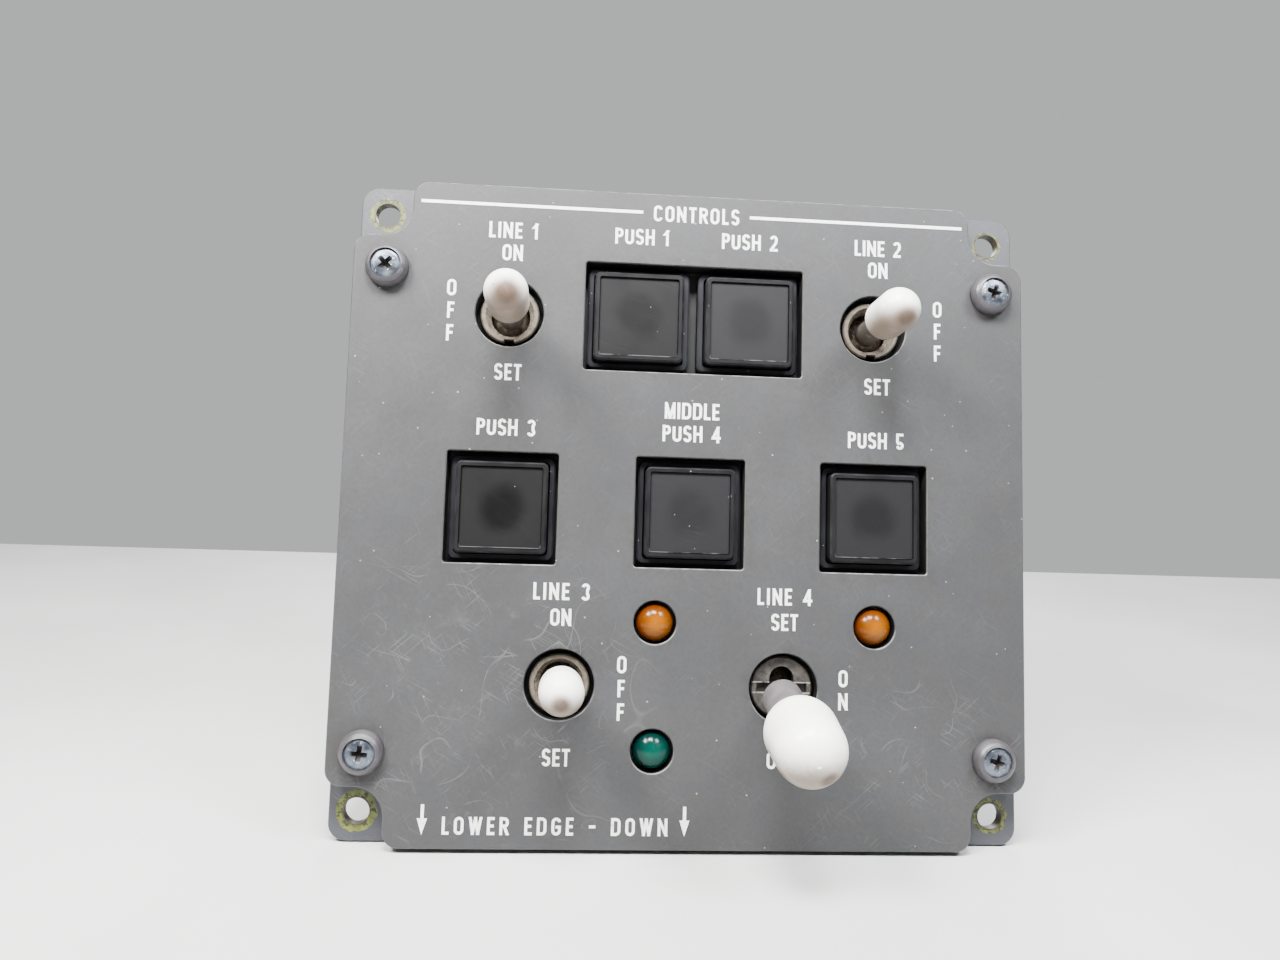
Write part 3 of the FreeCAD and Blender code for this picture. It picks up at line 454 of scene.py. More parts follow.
def bushing_material(name):
    """Dull beige plating on the rim, rough and sandy inside the mouth, and painted shade, near black, on the
    outside behind the rim.
    """
    at = TOGGLE_AT[name]
    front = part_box(name + "_bushing")[0].y
    s = Surface(name + "_bushing_plate", metallic=0.2)
    cloud = s.noise(900.0, detail=5.0, roughness=0.7)
    rim = s.mix(s.span(cloud, 0.3, 0.7), (0.062, 0.050, 0.036), (0.120, 0.102, 0.079))
    grit = s.noise(1700.0, detail=4.0, roughness=0.7)
    inside = s.mix(s.span(grit, 0.36, 0.64), (0.052, 0.041, 0.029), (0.190, 0.158, 0.116))
    radius = s.distance(at.x, at.z)
    is_rim = s.math("MULTIPLY", s.span(radius, 4.82 * MM, 4.92 * MM),
                    s.span(s.axis("Y"), front + 0.25 * MM, front + 0.6 * MM, 1.0, 0.0))
    colour = s.mix(is_rim, inside, rim)
    spots = s.span(s.noise(1400.0, detail=4.0), 0.60, 0.66)
    colour = s.mix(s.math("MULTIPLY", spots, 0.65), colour, (0.030, 0.018, 0.011))
    colour = s.mix(s.math("MULTIPLY", specks(s, 900.0, 0.50, 0.14), 0.8), colour, (0.36, 0.33, 0.28))
    # Painted shade: the outside behind the rim, seen only through the gap in the lightplate, goes near black.
    outside = s.span(radius, 5.55 * MM, 5.75 * MM)
    deep_shade = s.span(s.axis("Y"), front + 0.35 * MM, front + 0.9 * MM)
    colour = s.mix(s.math("MULTIPLY", outside, deep_shade), colour, (0.006, 0.005, 0.005))
    roughness = s.math("SUBTRACT", 0.64, s.math("MULTIPLY", is_rim, 0.2))
    return s.finish(colour, roughness, s.bump(cloud, 0.10 * MM, 0.6))


def lever_material(name):
    """Dull metal: a gritty ball in the bushing and a darker stem."""
    at = TOGGLE_AT[name]
    pivot = Vector((at.x, middle("toggle_pivots").y, at.z))
    s = Surface(name + "_lever_metal", metallic=0.3)
    grit = s.noise(1500.0, detail=5.0, roughness=0.7)
    ball = s.mix(s.span(grit, 0.36, 0.64), (0.036, 0.027, 0.020), (0.170, 0.140, 0.106))
    stem = s.mix(s.span(grit, 0.35, 0.65), (0.026, 0.022, 0.019), (0.085, 0.073, 0.061))
    colour = s.mix(s.span(s.point_distance(pivot), 4.4 * MM, 5.2 * MM), ball, stem)
    rub = s.span(s.noise(500.0, detail=4.0), 0.60, 0.70)
    colour = s.mix(s.math("MULTIPLY", rub, 0.4), colour, (0.22, 0.20, 0.18))
    return s.finish(colour, s.span(grit, 0.3, 0.7, 0.40, 0.62), s.bump(grit, 0.05 * MM, 0.6))


def lock_face_material():
    """Worn grey metal, bright on the lips of the detent groove, with painted shade in its floor and on the
    body behind the face.
    """
    at = TOGGLE_AT["lock_toggle"]
    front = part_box("lock_toggle_bushing")[0].y
    s = Surface("lock_face_metal", metallic=0.3)
    cloud = s.noise(750.0, detail=5.0, roughness=0.7)
    colour = s.mix(s.span(cloud, 0.35, 0.65), (0.024, 0.021, 0.0185), (0.068, 0.060, 0.053))
    offset = s.math("ABSOLUTE", s.math("SUBTRACT", s.axis("Z"), at.z))
    lip = s.span(s.math("ABSOLUTE", s.math("SUBTRACT", offset, 1.02 * MM)), 0.0, 0.20 * MM, 1.0, 0.0)
    lip = s.math("MULTIPLY", lip, s.span(s.axis("Y"), front + 0.1 * MM, front + 0.3 * MM, 1.0, 0.0))
    lip = s.math("MULTIPLY", lip, s.span(s.noise(800.0, detail=4.0), 0.36, 0.50))
    colour = s.mix(s.math("MULTIPLY", lip, 0.95), colour, (0.30, 0.285, 0.265))
    # Painted shade: all that lies further back than the lips, the groove's floor included, goes dark.
    deep_shade = s.span(s.axis("Y"), front + 0.25 * MM, front + 0.60 * MM)
    colour = s.mix(s.math("MULTIPLY", deep_shade, 0.88), colour, (0.010, 0.008, 0.007))
    colour = s.mix(s.math("MULTIPLY", specks(s, 800.0, 0.50, 0.12), 0.8), colour, (0.36, 0.34, 0.31))
    return s.finish(colour, s.span(cloud, 0.3, 0.7, 0.38, 0.62), s.bump(cloud, 0.06 * MM, 0.6))


def sheet_metal(name, light, dark, turn):
    """Rolled aluminium sheet: long grain, cloudy conversion coat, handling marks."""
    s = Surface(name, metallic=0.75)
    grain = s.noise(1.0, detail=3.0, vector=s.moved(scale=(30.0, 30.0, 2200.0), turn=turn))
    cloud = s.noise(75.0, detail=6.0, roughness=0.65)
    colour = s.mix(s.span(cloud, 0.3, 0.7), dark, light)
    colour = s.mix(s.span(grain, 0.3, 0.7, 0.0, 0.30), colour, tuple(c * 0.5 for c in dark))
    smudge = s.span(s.noise(170.0, detail=6.0, roughness=0.7), 0.55, 0.75)
    colour = s.mix(s.math("MULTIPLY", smudge, 0.25), colour, (0.22, 0.19, 0.14))
    marks = s.most([s.streaks(20, 14 * MM, 0.18 * MM, 0.68, 0.72, 2.0),
                    s.streaks(-61, 9 * MM, 0.16 * MM, 0.69, 0.73, 6.0)])
    colour = s.mix(s.math("MULTIPLY", marks, 0.4), colour, (0.80, 0.80, 0.78))
    roughness = s.math("ADD", s.span(cloud, 0.3, 0.7, 0.34, 0.48), s.math("MULTIPLY", smudge, 0.12))
    height = s.math("SUBTRACT", grain, s.math("MULTIPLY", marks, 0.8))
    return s.finish(colour, roughness, s.bump(height, 0.02 * MM, 0.4))


# ---------------------------------------------------------------- plastics
def moulded(name, light, dark, low_rough, high_rough, dust=0.0):
    """Moulded plastic: slight clouding, fine texture and, if asked, pale dust."""
    s = Surface(name)
    cloud = s.noise(90.0, detail=4.0)
    fine = s.noise(1500.0, detail=2.0)
    colour = s.mix(s.span(cloud, 0.3, 0.7), dark, light)
    if dust:
        dots = s.span(s.noise(1300.0, detail=2.0, roughness=0.5), 0.69, 0.735)
        colour = s.mix(s.math("MULTIPLY", dots, dust), colour, (0.42, 0.40, 0.38))
    roughness = s.span(s.math("ADD", cloud, s.math("MULTIPLY", fine, 0.3)), 0.4, 0.95, low_rough, high_rough)
    return s.finish(colour, roughness, s.bump(fine, 0.02 * MM, 0.5))


def soiled_and_shaded_tip(name, light, centre, radius, direction, smear_r, strength, seed):
    """White moulded plastic: painted shade in a tan colour on its downward-facing side, and handled brown
    where fingers push it.
    """
    s = Surface(name, Subsurface_Weight=0.06, Subsurface_Scale=0.0015)
    cloud = s.noise(160.0, detail=4.0)
    colour = s.mix(s.span(cloud, 0.3, 0.7), light, tuple(c * 0.94 for c in light))
    ragged = s.noise(330.0 + seed, detail=5.0, roughness=0.65, distortion=0.6)
    # Painted shade: the downward-facing side is darkened to tan, with ragged borders.
    under = s.span(s.math("ADD", s.normal_part("Z"), s.math("MULTIPLY", ragged, 0.3)), -0.55, 0.45, 1.0, 0.0)
    colour = s.mix(s.math("MULTIPLY", under, 0.94), colour, (0.150, 0.105, 0.072))
    smear_at = centre + Vector(direction).normalized() * radius
    near = s.span(s.point_distance(smear_at), smear_r * 0.3, smear_r, 1.0, 0.0)
    smear = s.math("MULTIPLY", near, s.span(ragged, 0.34, 0.62, 0.88, 1.0))
    colour = s.mix(s.math("MULTIPLY", smear, strength), colour, (0.070, 0.034, 0.016))
    nicks = s.math("MULTIPLY", specks(s, 520.0 + seed, 0.35, 0.16), s.span(near, 0.0, 0.3, 0.25, 1.0))
    colour = s.mix(s.math("MULTIPLY", nicks, 0.75), colour, (0.016, 0.011, 0.008))
    roughness = s.math("ADD", s.span(cloud, 0.3, 0.7, 0.30, 0.42), s.math("MULTIPLY", smear, 0.15))
    return s.finish(colour, roughness, s.bump(s.noise(900.0), 0.02 * MM, 0.4))


def button_material(name, dark, light):
    """Fine satin black with lighter edges, part rubbed wear and part painted highlight, dust caught on the
    ledges, and painted shade, near black, on the parts far back in the openings.
    """
    s = Surface(name, Specular_IOR_Level=0.12)
    cloud = s.noise(140.0, detail=4.0)
    fine = s.noise(2100.0, detail=2.0)
    colour = s.mix(s.span(cloud, 0.3, 0.7), dark, light)
    # Lighter edges: part rubbed wear, part painted highlight.
    facing = s.math("ABSOLUTE", s.normal_part("Y"))
    rubbed_and_highlit_edge = s.math("MULTIPLY", s.span(facing, 0.2, 0.45), s.span(facing, 0.85, 0.97, 1.0, 0.0))
    rubbed_and_highlit_edge = s.math("MULTIPLY", rubbed_and_highlit_edge, s.span(s.noise(380.0, detail=4.0), 0.42, 0.64))
    colour = s.mix(s.math("MULTIPLY", rubbed_and_highlit_edge, 0.30), colour, (0.028, 0.028, 0.030))
    # Painted shade: the parts far back in the openings go near black.
    back = s.span(s.axis("Y"), FACE + 2.6 * MM, FACE + 3.6 * MM)
    shaded = s.math("MULTIPLY", back, s.span(s.axis("Y"), -0.5 * MM, 0.0, 1.0, 0.0))
    colour = s.mix(shaded, colour, (0.002, 0.002, 0.002))
    colour = s.mix(s.math("MULTIPLY", specks(s, 420.0, 0.40, 0.07), 0.8), colour, (0.22, 0.21, 0.20))
    roughness = s.math("SUBTRACT", s.span(cloud, 0.3, 0.7, 0.44, 0.56), s.math("MULTIPLY", rubbed_and_highlit_edge, 0.1))
    return s.finish(colour, roughness, s.bump(fine, 0.02 * MM, 0.5))


def lens_material(name, level, blot, turn):
    """A smoked satin lens with faint scratches, dust, a fingered patch in the middle and a painted highlight
    along its lower border.
    """
    at = BUTTON_AT[name]
    s = Surface(name + "_lens_smoke", Specular_IOR_Level=0.15)
    tone = Vector((0.0079, 0.0077, 0.0083)) * level
    cloud = s.noise(120.0, detail=4.0, roughness=0.6)
    colour = s.mix(s.span(cloud, 0.3, 0.7), tuple(tone * 0.9), tuple(tone * 1.12))
    wobble = s.math("MULTIPLY", s.math("SUBTRACT", s.noise(110.0, detail=3.0), 0.5), 4.0 * MM)
    patch = s.span(s.math("ADD", s.distance(at.x, at.z), wobble), 2.2 * MM, 6.4 * MM, 1.0, 0.0)
    colour = s.mix(s.math("MULTIPLY", patch, blot), colour, tuple(tone * 0.22))
    marks = s.most([s.streaks(turn, 9 * MM, 0.12 * MM, 0.70, 0.73, 8.0 + turn),
                    s.streaks(turn - 70, 5 * MM, 0.10 * MM, 0.72, 0.75, turn)])
    colour = s.mix(s.math("MULTIPLY", marks, 0.12), colour, (0.05, 0.05, 0.054))
    colour = s.mix(s.math("MULTIPLY", specks(s, 430.0 + turn, 0.42, 0.055), 0.8), colour, (0.24, 0.23, 0.22))
    low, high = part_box(name + "_lens")
    # Painted highlight: a broken light line along the lens's lower border.
    border = s.span(s.square_distance(at.x, at.z, high.x - at.x, high.z - at.z), -0.30 * MM, -0.05 * MM)
    below = s.span(s.axis("Z"), at.z - 7.9 * MM, at.z - 7.0 * MM, 1.0, 0.0)
    broken = s.span(s.noise(300.0, detail=3.0), 0.36, 0.52)
    rim = s.math("MULTIPLY", border, s.math("MULTIPLY", below, broken))
    colour = s.mix(s.math("MULTIPLY", rim, 0.9), colour, (0.17, 0.165, 0.16))
    roughness = s.span(s.math("ADD", cloud, s.math("MULTIPLY", patch, 0.3)), 0.3, 0.9, 0.52, 0.38)
    return s.finish(colour, roughness, s.bump(s.noise(1800.0), 0.01 * MM, 0.4))


def lamp_material(name, bright, deep_shade):
    """A moulded coloured dome, glossy, with a few scuffs: a painted glow in its middle, a little right of and
    below the centre, and painted shade towards its rim.
    """
    at = LAMP_AT[name]
    s = Surface(name + "_dome", Coat_Weight=0.04, Coat_Roughness=0.08, Specular_IOR_Level=0.15)
    # Painted light: a bright glow in the middle fading to painted shade at the rim.
    glow_to_rim_shade = s.span(s.distance(at.x + 0.4 * MM, at.z - 0.5 * MM), 0.4 * MM, 4.1 * MM)
    swirl = s.noise(260.0, detail=4.0, distortion=0.8)
    glow_to_rim_shade = s.math("ADD", glow_to_rim_shade, s.math("MULTIPLY", s.math("SUBTRACT", swirl, 0.5), 0.35), clamp=True)
    colour = s.mix(glow_to_rim_shade, bright, deep_shade)
    colour = s.mix(s.math("MULTIPLY", specks(s, 600.0, 0.50, 0.09), 0.4), colour, (0.5, 0.45, 0.3))
    roughness = s.span(s.noise(700.0, detail=3.0), 0.4, 0.75, 0.14, 0.30)
    return s.finish(colour, roughness, s.bump(s.noise(500.0, detail=3.0), 0.02 * MM, 0.35))


def legend_material():
    """White print, slightly chipped and greyed."""
    s = Surface("legend_white")
    cloud = s.noise(600.0, detail=4.0)
    colour = s.mix(s.span(cloud, 0.3, 0.7), (0.70, 0.70, 0.68), (0.82, 0.82, 0.80))
    chips = s.span(s.noise(1500.0, detail=4.0, roughness=0.7), 0.62, 0.67)
    colour = s.mix(s.math("MULTIPLY", chips, 0.6), colour, (0.13, 0.13, 0.13))
    return s.finish(colour, s.span(cloud, 0.3, 0.7, 0.42, 0.58), s.bump(cloud, 0.01 * MM, 0.4))


def floor_material():
    s = Surface("pale_floor")
    cloud = s.noise(9.0, detail=4.0)
    colour = s.mix(s.span(cloud, 0.3, 0.7), (0.42, 0.42, 0.415), (0.47, 0.47, 0.465))
    return s.finish(colour, s.span(cloud, 0.3, 0.7, 0.68, 0.8), s.bump(s.noise(700.0), 0.05 * MM, 0.2))


# ---------------------------------------------------------------- lettering
CAP_HEIGHT = 3.3 * MM
STROKE = 0.52 * MM
LETTER_GAP = 0.42 * MM
WORD_GAP = 1.5 * MM
PAINT = 0.03 * MM
PRINT_ROOT = 0.05 * MM
LAYER_STEP = 0.001 * MM
LAYERS = 12
RULE_WIDTH = 0.62 * MM
ARROW_HALF = 0.30
ARROW_HEAD_HALF = 0.95
ARROW_HEAD = 3.0


def bend(x, y, start, end, radius=0.5, steps=9):
    """A round turn of the pen about (x, y), in widths of the letter."""
    points = []
    for step in range(steps + 1):
        angle = math.radians(start + (end - start) * step / steps)
        points.append((x + radius * math.cos(angle), (y, radius * math.sin(angle))))
    return points


# The bowl that P and R share.
BOWL = [(0, 1)] + bend(0.55, "top", 90, 0, 0.45) + bend(0.55, "waist", 0, -90, 0.45) + [(0, "waist_line")]

# Each glyph is its width in mm and its strokes, drawn by the middle of the pen. Across, 0 and 1
# are the left and right edges; up, 0 and 1 are the foot and the top. A turn's point carries its
# height as a pair: the height of the turn's centre, and the rise from it in widths.
GLYPHS = {
    "C": (1.75, [bend(0.5, "top", 8, 180) + bend(0.5, "foot", 180, 352)]),
    "D": (1.80, [[(0, 0), (0, 1)],
                 [(0, 1)] + bend(0.5, "top", 90, 0) + bend(0.5, "foot", 0, -90) + [(0, 0)]]),
    "E": (1.40, [[(0, 0), (0, 1)], [(0, 1), (1, 1)], [(0, 0.5), (0.86, 0.5)], [(0, 0), (1, 0)]]),
    "F": (1.35, [[(0, 0), (0, 1)], [(0, 1), (1, 1)], [(0, 0.5), (0.86, 0.5)]]),
    "G": (1.80, [bend(0.5, "top", 8, 180) + bend(0.5, "foot", 180, 360) + [(1, 0.46)],
                 [(0.62, 0.46), (1, 0.46)]]),
    "H": (1.80, [[(0, 0), (0, 1)], [(1, 0), (1, 1)], [(0, 0.5), (1, 0.5)]]),
    "I": (0.52, [[(0, 0), (0, 1)]]),
    "L": (1.30, [[(0, 0), (0, 1)], [(0, 0), (1, 0)]]),
    "M": (2.10, [[(0, 0), (0, 1)], [(1, 0), (1, 1)], [(0.5, 0), (0.02, 1)], [(0.5, 0), (0.98, 1)]]),
    "N": (1.85, [[(0, 0), (0, 1)], [(1, 0), (1, 1)], [(0.98, 0), (0.02, 1)]]),
    "O": (1.80, [bend(0.5, "top", 0, 180) + bend(0.5, "foot", 180, 360) + [(1, "close")]]),
    "P": (1.60, [[(0, 0), (0, 1)], BOWL]),
    "R": (1.70, [[(0, 0), (0, 1)], BOWL, [(1.0, 0), (0.52, 0.5)]]),
    "S": (1.60, [bend(0.5, "top", 8, 180) + [(0.06, 0.58), (0.94, 0.42)] + bend(0.5, "foot", 0, -172)]),
    "T": (1.50, [[(0, 1), (1, 1)], [(0.5, 0), (0.5, 1)]]),
    "U": (1.75, [[(0, 1)] + bend(0.5, "foot", 180, 360) + [(1, 1)]]),
    "W": (2.50, [[(0.25, 0), (0, 1)], [(0.25, 0), (0.5, 1)], [(0.75, 0), (0.5, 1)], [(0.75, 0), (1, 1)]]),
    "1": (0.95, [[(1, 0), (1, 1)], [(0, 0.78), (1, 0.98)]]),
    "2": (1.60, [bend(0.5, "top", 172, 0) + [(0.93, 0.55), (0.08, 0.06)], [(0, 0), (1, 0)]]),
    "3": (1.60, [bend(0.5, "top", 168, -50) + bend(0.5, "foot", 50, -168)]),
    "4": (1.80, [[(0.76, 0), (0.76, 1)], [(0, 0.26), (1, 0.26)], [(0.02, 0.26), (0.72, 1)]]),
    "5": (1.60, [[(0.05, 1), (0.95, 1)], [(0.05, 0.5), (0.05, 1)], bend(0.5, "foot", 150, -168)]),
    "-": (1.20, [[(0, 0.5), (1, 0.5)]]),
}


def pen_point(place, width, left, foot):
    """Turns one glyph point into (x, z) on the face."""
    across, up = place
    span_x = width - STROKE
    span_z = CAP_HEIGHT - STROKE
    waist = 0.5 * span_z
    centres = {"top": span_z - 0.5 * span_x, "foot": 0.5 * span_x, "waist": waist + 0.45 * span_x}
    if up == "close":
        height = centres["top"]
    elif up == "waist_line":
        height = waist
    elif isinstance(up, tuple):
        height = centres[up[0]] + up[1] * span_x
    else:
        height = up * span_z
    return Vector((left + STROKE / 2 + across * span_x, foot + STROKE / 2 + height))


def strip(mesh, left, right, top, bottom, closed=False):
    """A flat bar between two rows of points on the XZ plane, from y = bottom out to y = top."""
    rows = []
    for a, b in zip(left, right):
        corners = ((a, top), (b, top), (b, bottom), (a, bottom))
        rows.append([mesh.verts.new((p.x, y, p.y)) for p, y in corners])
    count = len(rows)
    for index in range(count if closed else count - 1):
        here = rows[index]
        following = rows[(index + 1) % count]
        for side in range(4):
            corner = (side + 1) % 4
            mesh.faces.new([here[side], following[side], following[corner], here[corner]])
    if not closed:
        mesh.faces.new(rows[0])
        mesh.faces.new(rows[-1][::-1])


def pen_stroke(mesh, points, width, top, bottom, square_ends=True):
    """One stroke: a straight bar cut at the cap lines, or a round path of even width."""
    path = [p for index, p in enumerate(points) if index == 0 or (p - points[index - 1]).length > 1e-7]
    closed = len(path) > 3 and (path[0] - path[-1]).length < 1e-7
    if len(path) == 2 and square_ends:
        along = (path[1] - path[0]).normalized()
        if min(abs(along.x), abs(along.y)) < 1e-6:
            path = [path[0] - along * width * 0.5, path[1] + along * width * 0.5]
        elif abs(along.y) > 0.5:
            longer = along * width * 0.5 / abs(along.y)
            path = [path[0] - longer, path[1] + longer]
            reach = Vector((width / 2 / abs(along.y), 0.0))
            strip(mesh, [p - reach for p in path], [p + reach for p in path], top, bottom)
            return
    if closed:
        path.pop()
    left = []
    right = []
    count = len(path)
    for index, here in enumerate(path):
        before = path[index - 1] if index or closed else None
        after = path[(index + 1) % count] if index + 1 < count or closed else None
        back = (here - before).normalized() if before is not None else (after - here).normalized()
        ahead = (after - here).normalized() if after is not None else back
        along = (back + ahead).normalized()
        side = Vector((-along.y, along.x))
        reach = width / 2 / max(0.7, side.dot(Vector((-ahead.y, ahead.x))))
        left.append(here + side * reach)
        right.append(here - side * reach)
    strip(mesh, left, right, top, bottom, closed)


def finish_piece(name, mesh, material, body):
    bmesh.ops.recalc_face_normals(mesh, faces=mesh.faces)
    data = bpy.data.meshes.new(name)
    mesh.to_mesh(data)
    mesh.free()
    data.materials.append(material)
    piece = bpy.data.objects.new(name, data)
    bpy.context.scene.collection.objects.link(piece)
    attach(piece, body)


def advance(letter):
    return WORD_GAP - LETTER_GAP if letter == " " else GLYPHS[letter][0] * MM


def write(name, text, x, z, width=None):
    """Raised print centred on (x, z) of the face; a given width spreads the letters to fit it."""
    total = sum(advance(letter) for letter in text)
    gap = LETTER_GAP if width is None else (width - total) / (len(text) - 1)
    pen = x - (total + gap * (len(text) - 1)) / 2
    mesh = bmesh.new()
    layer = 0
    for letter in text:
        if letter != " ":
            wide, strokes = GLYPHS[letter]
            for stroke in strokes:
                layer += 1
                lift = PAINT + LAYER_STEP * (layer % LAYERS)
                points = [pen_point(place, wide * MM, pen, z - CAP_HEIGHT / 2) for place in stroke]
                pen_stroke(mesh, points, STROKE, FACE - lift, FACE + PRINT_ROOT)
        pen += advance(letter) + gap
    finish_piece(name, mesh, legend_paint, "panel")


def rule(name, x0, x1, z):
    mesh = bmesh.new()
    ends = [Vector((x0, z)), Vector((x1, z))]
    pen_stroke(mesh, ends, RULE_WIDTH, FACE - PAINT, FACE + PRINT_ROOT, square_ends=False)
    finish_piece(name, mesh, legend_paint, "panel")


def arrow(name, x, top, bottom):
    """A slim arrow that points down."""
    mesh = bmesh.new()
    barb = bottom + ARROW_HEAD
    outline = [(-ARROW_HALF, top), (ARROW_HALF, top), (ARROW_HALF, barb), (ARROW_HEAD_HALF, barb),
               (0.0, bottom), (-ARROW_HEAD_HALF, barb), (-ARROW_HALF, barb)]
    front = [mesh.verts.new((x + px * MM, FACE - PAINT, pz * MM)) for px, pz in outline]
    rear = [mesh.verts.new((x + px * MM, FACE + PRINT_ROOT, pz * MM)) for px, pz in outline]
    for ring in (front, rear):
        mesh.faces.new([ring[0], ring[1], ring[2], ring[6]])
        mesh.faces.new([ring[2], ring[3], ring[4], ring[5], ring[6]])
    for index in range(len(outline)):
        following = (index + 1) % len(outline)
        mesh.faces.new([front[index], front[following], rear[following], rear[index]])
    finish_piece(name, mesh, legend_paint, "panel")


def column(name, word, x, tops):
    """A word read downwards, one letter to a line."""
    for index, (letter, z) in enumerate(zip(word, tops)):
        write(f"{name}_{index + 1}", letter, x, z * MM)


def make_lettering():
    write("legend_header", "CONTROLS", 0.0, 61.1 * MM, 17.6 * MM)
    for side, x0, x1 in (("left", -55.7, -11.0), ("right", 11.0, 55.7)):
        rule("legend_rule_" + side, x0 * MM, x1 * MM, 61.2 * MM)
    for name, number, caption_x in (("toggle_1", "1", -37.1), ("toggle_2", "2", 37.9)):
        write(f"legend_{name}", "LINE " + number, caption_x * MM, 56.0 * MM, 9.7 * MM)
        write(f"legend_{name}_on", "ON", caption_x * MM, 51.4 * MM)
        write(f"legend_{name}_set", "SET", caption_x * MM, 27.0 * MM)
    column("legend_toggle_1_off", "OFF", -48.9 * MM, (43.7, 39.1, 34.5))
    column("legend_toggle_2_off", "OFF", 50.5 * MM, (43.7, 39.1, 34.5))
    write("legend_button_1", "PUSH 1", -11.1 * MM, 56.0 * MM)
    write("legend_button_2", "PUSH 2", 11.1 * MM, 56.0 * MM)
    write("legend_button_3", "PUSH 3", -37.0 * MM, 15.9 * MM)
    write("legend_button_4_top", "MIDDLE", 0.0, 20.5 * MM)
    write("legend_button_4", "PUSH 4", 0.0, 15.9 * MM)
    write("legend_button_5", "PUSH 5", 37.7 * MM, 15.9 * MM)
    write("legend_toggle_3", "LINE 3", -24.9 * MM, -16.1 * MM, 11.0 * MM)
    write("legend_toggle_3_on", "ON", -24.9 * MM, -21.1 * MM)
    column("legend_toggle_3_off", "OFF", -12.7 * MM, (-30.0, -34.6, -39.1))
    write("legend_toggle_3_set", "SET", -24.9 * MM, -47.9 * MM)
    write("legend_lock_toggle", "LINE 4", 19.4 * MM, -16.1 * MM, 11.0 * MM)
    write("legend_lock_toggle_set", "SET", 19.4 * MM, -21.1 * MM)
    column("legend_lock_toggle_on", "ON", 31.3 * MM, (-31.9, -36.4))
    write("legend_lock_toggle_off", "OFF", 18.9 * MM, -47.9 * MM)
    write("legend_edge", "LOWER EDGE - DOWN", -24.5 * MM, -60.8 * MM, 43.0 * MM)
    arrow("legend_arrow_left", -49.8 * MM, -56.9, -62.5)
    arrow("legend_arrow_right", 0.3 * MM, -56.9, -62.5)


# ---------------------------------------------------------------- the floor
def make_floor():
    """A pale floor under the two edges the panel leans on: the back plate's and the chassis's."""
    foot = Vector((0.0, back_high.y, back_low.z))
    heel = Vector((0.0, chassis_high.y, chassis_low.z))
    slope = (heel - foot).normalized()
    near = foot - slope * 0.9
    far = foot + slope * 0.36
    mesh = bmesh.new()
    corners = [(-1.2, near), (1.2, near), (1.2, far), (-1.2, far)]
    mesh.faces.new([mesh.verts.new((x, p.y, p.z)) for x, p in corners])
    data = bpy.data.meshes.new("floor")
    mesh.to_mesh(data)
    mesh.free()
    data.materials.append(floor_material())
    floor = bpy.data.objects.new("floor", data)
    bpy.context.scene.collection.objects.link(floor)


# ---------------------------------------------------------------- dress every CAD node
def dress_tips():
    """The white tips: where each round nose has its centre, and where it is soiled."""
    tip_r = 4.1 * MM
    knob_r = 6.45 * MM
    knob_offset = 0.38 * MM
    # For each tip: the way from the nose's centre to the smear, its reach in mm, its strength.
    smears = {
        "toggle_1": ((0.095, -0.954, -0.283), 4.2, 0.95),
        "toggle_2": ((0.110, -0.800, -0.580), 3.0, 0.90),
        "toggle_3": ((0.020, -0.935, -0.352), 2.6, 0.93),
    }
    for index, (name, (direction, reach, strength)) in enumerate(smears.items()):
        low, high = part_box(name + "_tip")
        centre_x = low.x + tip_r if name == "toggle_2" else high.x - tip_r
        centre = Vector((centre_x, low.y + tip_r, (low.z + high.z) / 2))
        material = soiled_and_shaded_tip(name + "_nylon", (0.86, 0.84, 0.80), centre, tip_r, direction,
                              reach * MM, strength, 13.0 * index)
        dress(material, name + "_tip")
    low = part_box("lock_toggle_knob")[0]
    centre = Vector((TOGGLE_AT["lock_toggle"].x - knob_offset, low.y + knob_r, low.z + knob_r))
    dress(soiled_and_shaded_tip("knob_nylon", (0.90, 0.88, 0.83), centre, knob_r, (0.343, -0.705, -0.621),
                     2.4 * MM, 0.96, 57.0), "lock_toggle_knob")


def dress_front():
    dress(lightplate_material(), "lightplate")
    dress(back_plate_material(), "back_plate")
    dress(screw_material(), "lightplate_screws")
    dress(collar_material(), "screw_collars")
    for name in TOGGLES:
        dress(lever_material(name), name + "_lever")
    for name in SMALL_TOGGLES:
        dress(bushing_material(name), name + "_bushing")
    dress(lock_face_material(), "lock_toggle_bushing")
    dress(worn_metal("sleeve_anodised", (0.115, 0.104, 0.108), (0.080, 0.071, 0.075), 0.42, 0.6, scale=300.0,
                     metallic=0.2, dirt_amount=0.25), "lock_toggle_sleeve")
    cap_black = button_material("cap_black", (0.0036, 0.0035, 0.0041), (0.0060, 0.0058, 0.0066))
    # The housing's black is a lighter copy of the cap's: painted light on its flange, which sits in shade
    # under the opening's top wall.
    housing_black_painted_lighter = button_material("housing_black_painted_lighter", (0.0085, 0.0086, 0.0105), (0.0130, 0.0131, 0.0158))
    looks = {
        "button_1": (0.70, 0.15, 17), "button_2": (1.32, 0.10, 48), "button_3": (0.62, 0.80, 31),
        "button_4": (1.22, 0.10, 12), "button_5": (1.08, 0.35, 63),
    }
    for name, (level, blot, turn) in looks.items():
        dress(housing_black_painted_lighter, name + "_housing")
        dress(cap_black, name + "_cap")
        dress(lens_material(name, level, blot, turn), name + "_lens")
    # Each lamp gets the colour of its painted glow and of the painted shade at its rim.
    amber = ((0.180, 0.054, 0.0000), (0.052, 0.0100, 0.0000))
    green = ((0.0000, 0.040, 0.029), (0.0000, 0.010, 0.0080))
    for name in LAMPS:
        dress(lamp_material(name, *(green if name == "lamp_3" else amber)), name + "_lens")
        dress(moulded(name + "_body", (0.012, 0.011, 0.011), (0.006, 0.006, 0.006), 0.35, 0.5),
              name + "_holder")


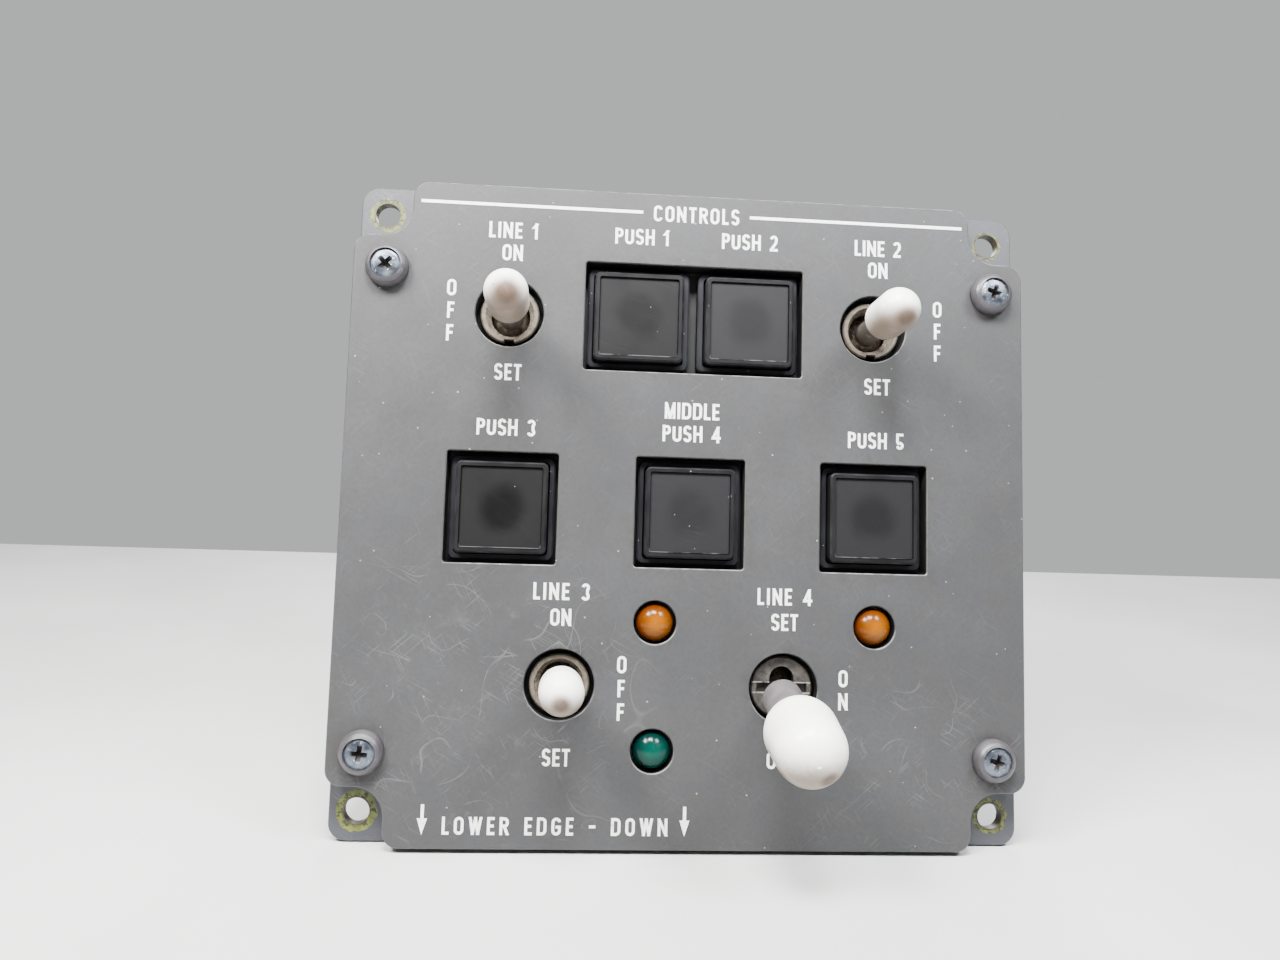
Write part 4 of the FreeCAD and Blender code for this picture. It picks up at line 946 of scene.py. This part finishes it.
def dress_rear():
    dress(nut_material(), "toggle_nuts")
    dress(worn_metal("zinc_hardware", (0.60, 0.61, 0.62), (0.36, 0.37, 0.39), 0.28, 0.45), "lightplate_nuts",
          "chassis_screws", "chassis_nuts", "cover_screws", "connector_screws", "toggle_washers")
    dress(worn_metal("pivot_steel", (0.36, 0.33, 0.30), (0.13, 0.11, 0.10), 0.38, 0.6), "toggle_pivots")
    dress(sheet_metal("chassis_sheet", (0.36, 0.355, 0.325), (0.28, 0.276, 0.250), (0, 0, 0)), "chassis")
    dress(sheet_metal("cover_sheet", (0.35, 0.345, 0.320), (0.27, 0.266, 0.245), (0, 90, 0)), "rear_cover")
    dress(worn_metal("lamp_nut_metal", (0.30, 0.30, 0.30), (0.14, 0.14, 0.14), 0.35, 0.5), "lamp_nuts")
    dress(moulded("bulb_glass", (0.85, 0.80, 0.68), (0.75, 0.70, 0.58), 0.05, 0.12), "lamp_bulbs")
    dress(moulded("case_phenolic", (0.085, 0.040, 0.028), (0.050, 0.024, 0.018), 0.32, 0.5, dust=0.3),
          *[name + "_case" for name in TOGGLES])
    dress(moulded("block_plastic", (0.040, 0.050, 0.062), (0.026, 0.032, 0.040), 0.35, 0.5, dust=0.2),
          "button_contact_blocks")
    dress(worn_metal("brass_terminals", (0.78, 0.60, 0.32), (0.55, 0.38, 0.17), 0.25, 0.4),
          "toggle_terminals")
    dress(worn_metal("clamp_steel", (0.52, 0.52, 0.52), (0.38, 0.38, 0.38), 0.3, 0.45), "button_clamps")
    dress(worn_metal("shell_olive", (0.17, 0.165, 0.105), (0.105, 0.10, 0.062), 0.38, 0.55, scale=260.0,
                     metallic=0.55, dirt=(0.30, 0.29, 0.26), dirt_amount=0.35), "connector_shell")
    dress(moulded("insert_resin", (0.030, 0.060, 0.070), (0.020, 0.040, 0.048), 0.28, 0.42, dust=0.15),
          "connector_insert")
    dress(worn_metal("contact_gold", (0.92, 0.70, 0.34), (0.75, 0.52, 0.20), 0.18, 0.3), "connector_contacts")


make_camera()
make_lights()
make_floor()
legend_paint = legend_material()
dress_front()
dress_tips()
dress_rear()
make_lettering()
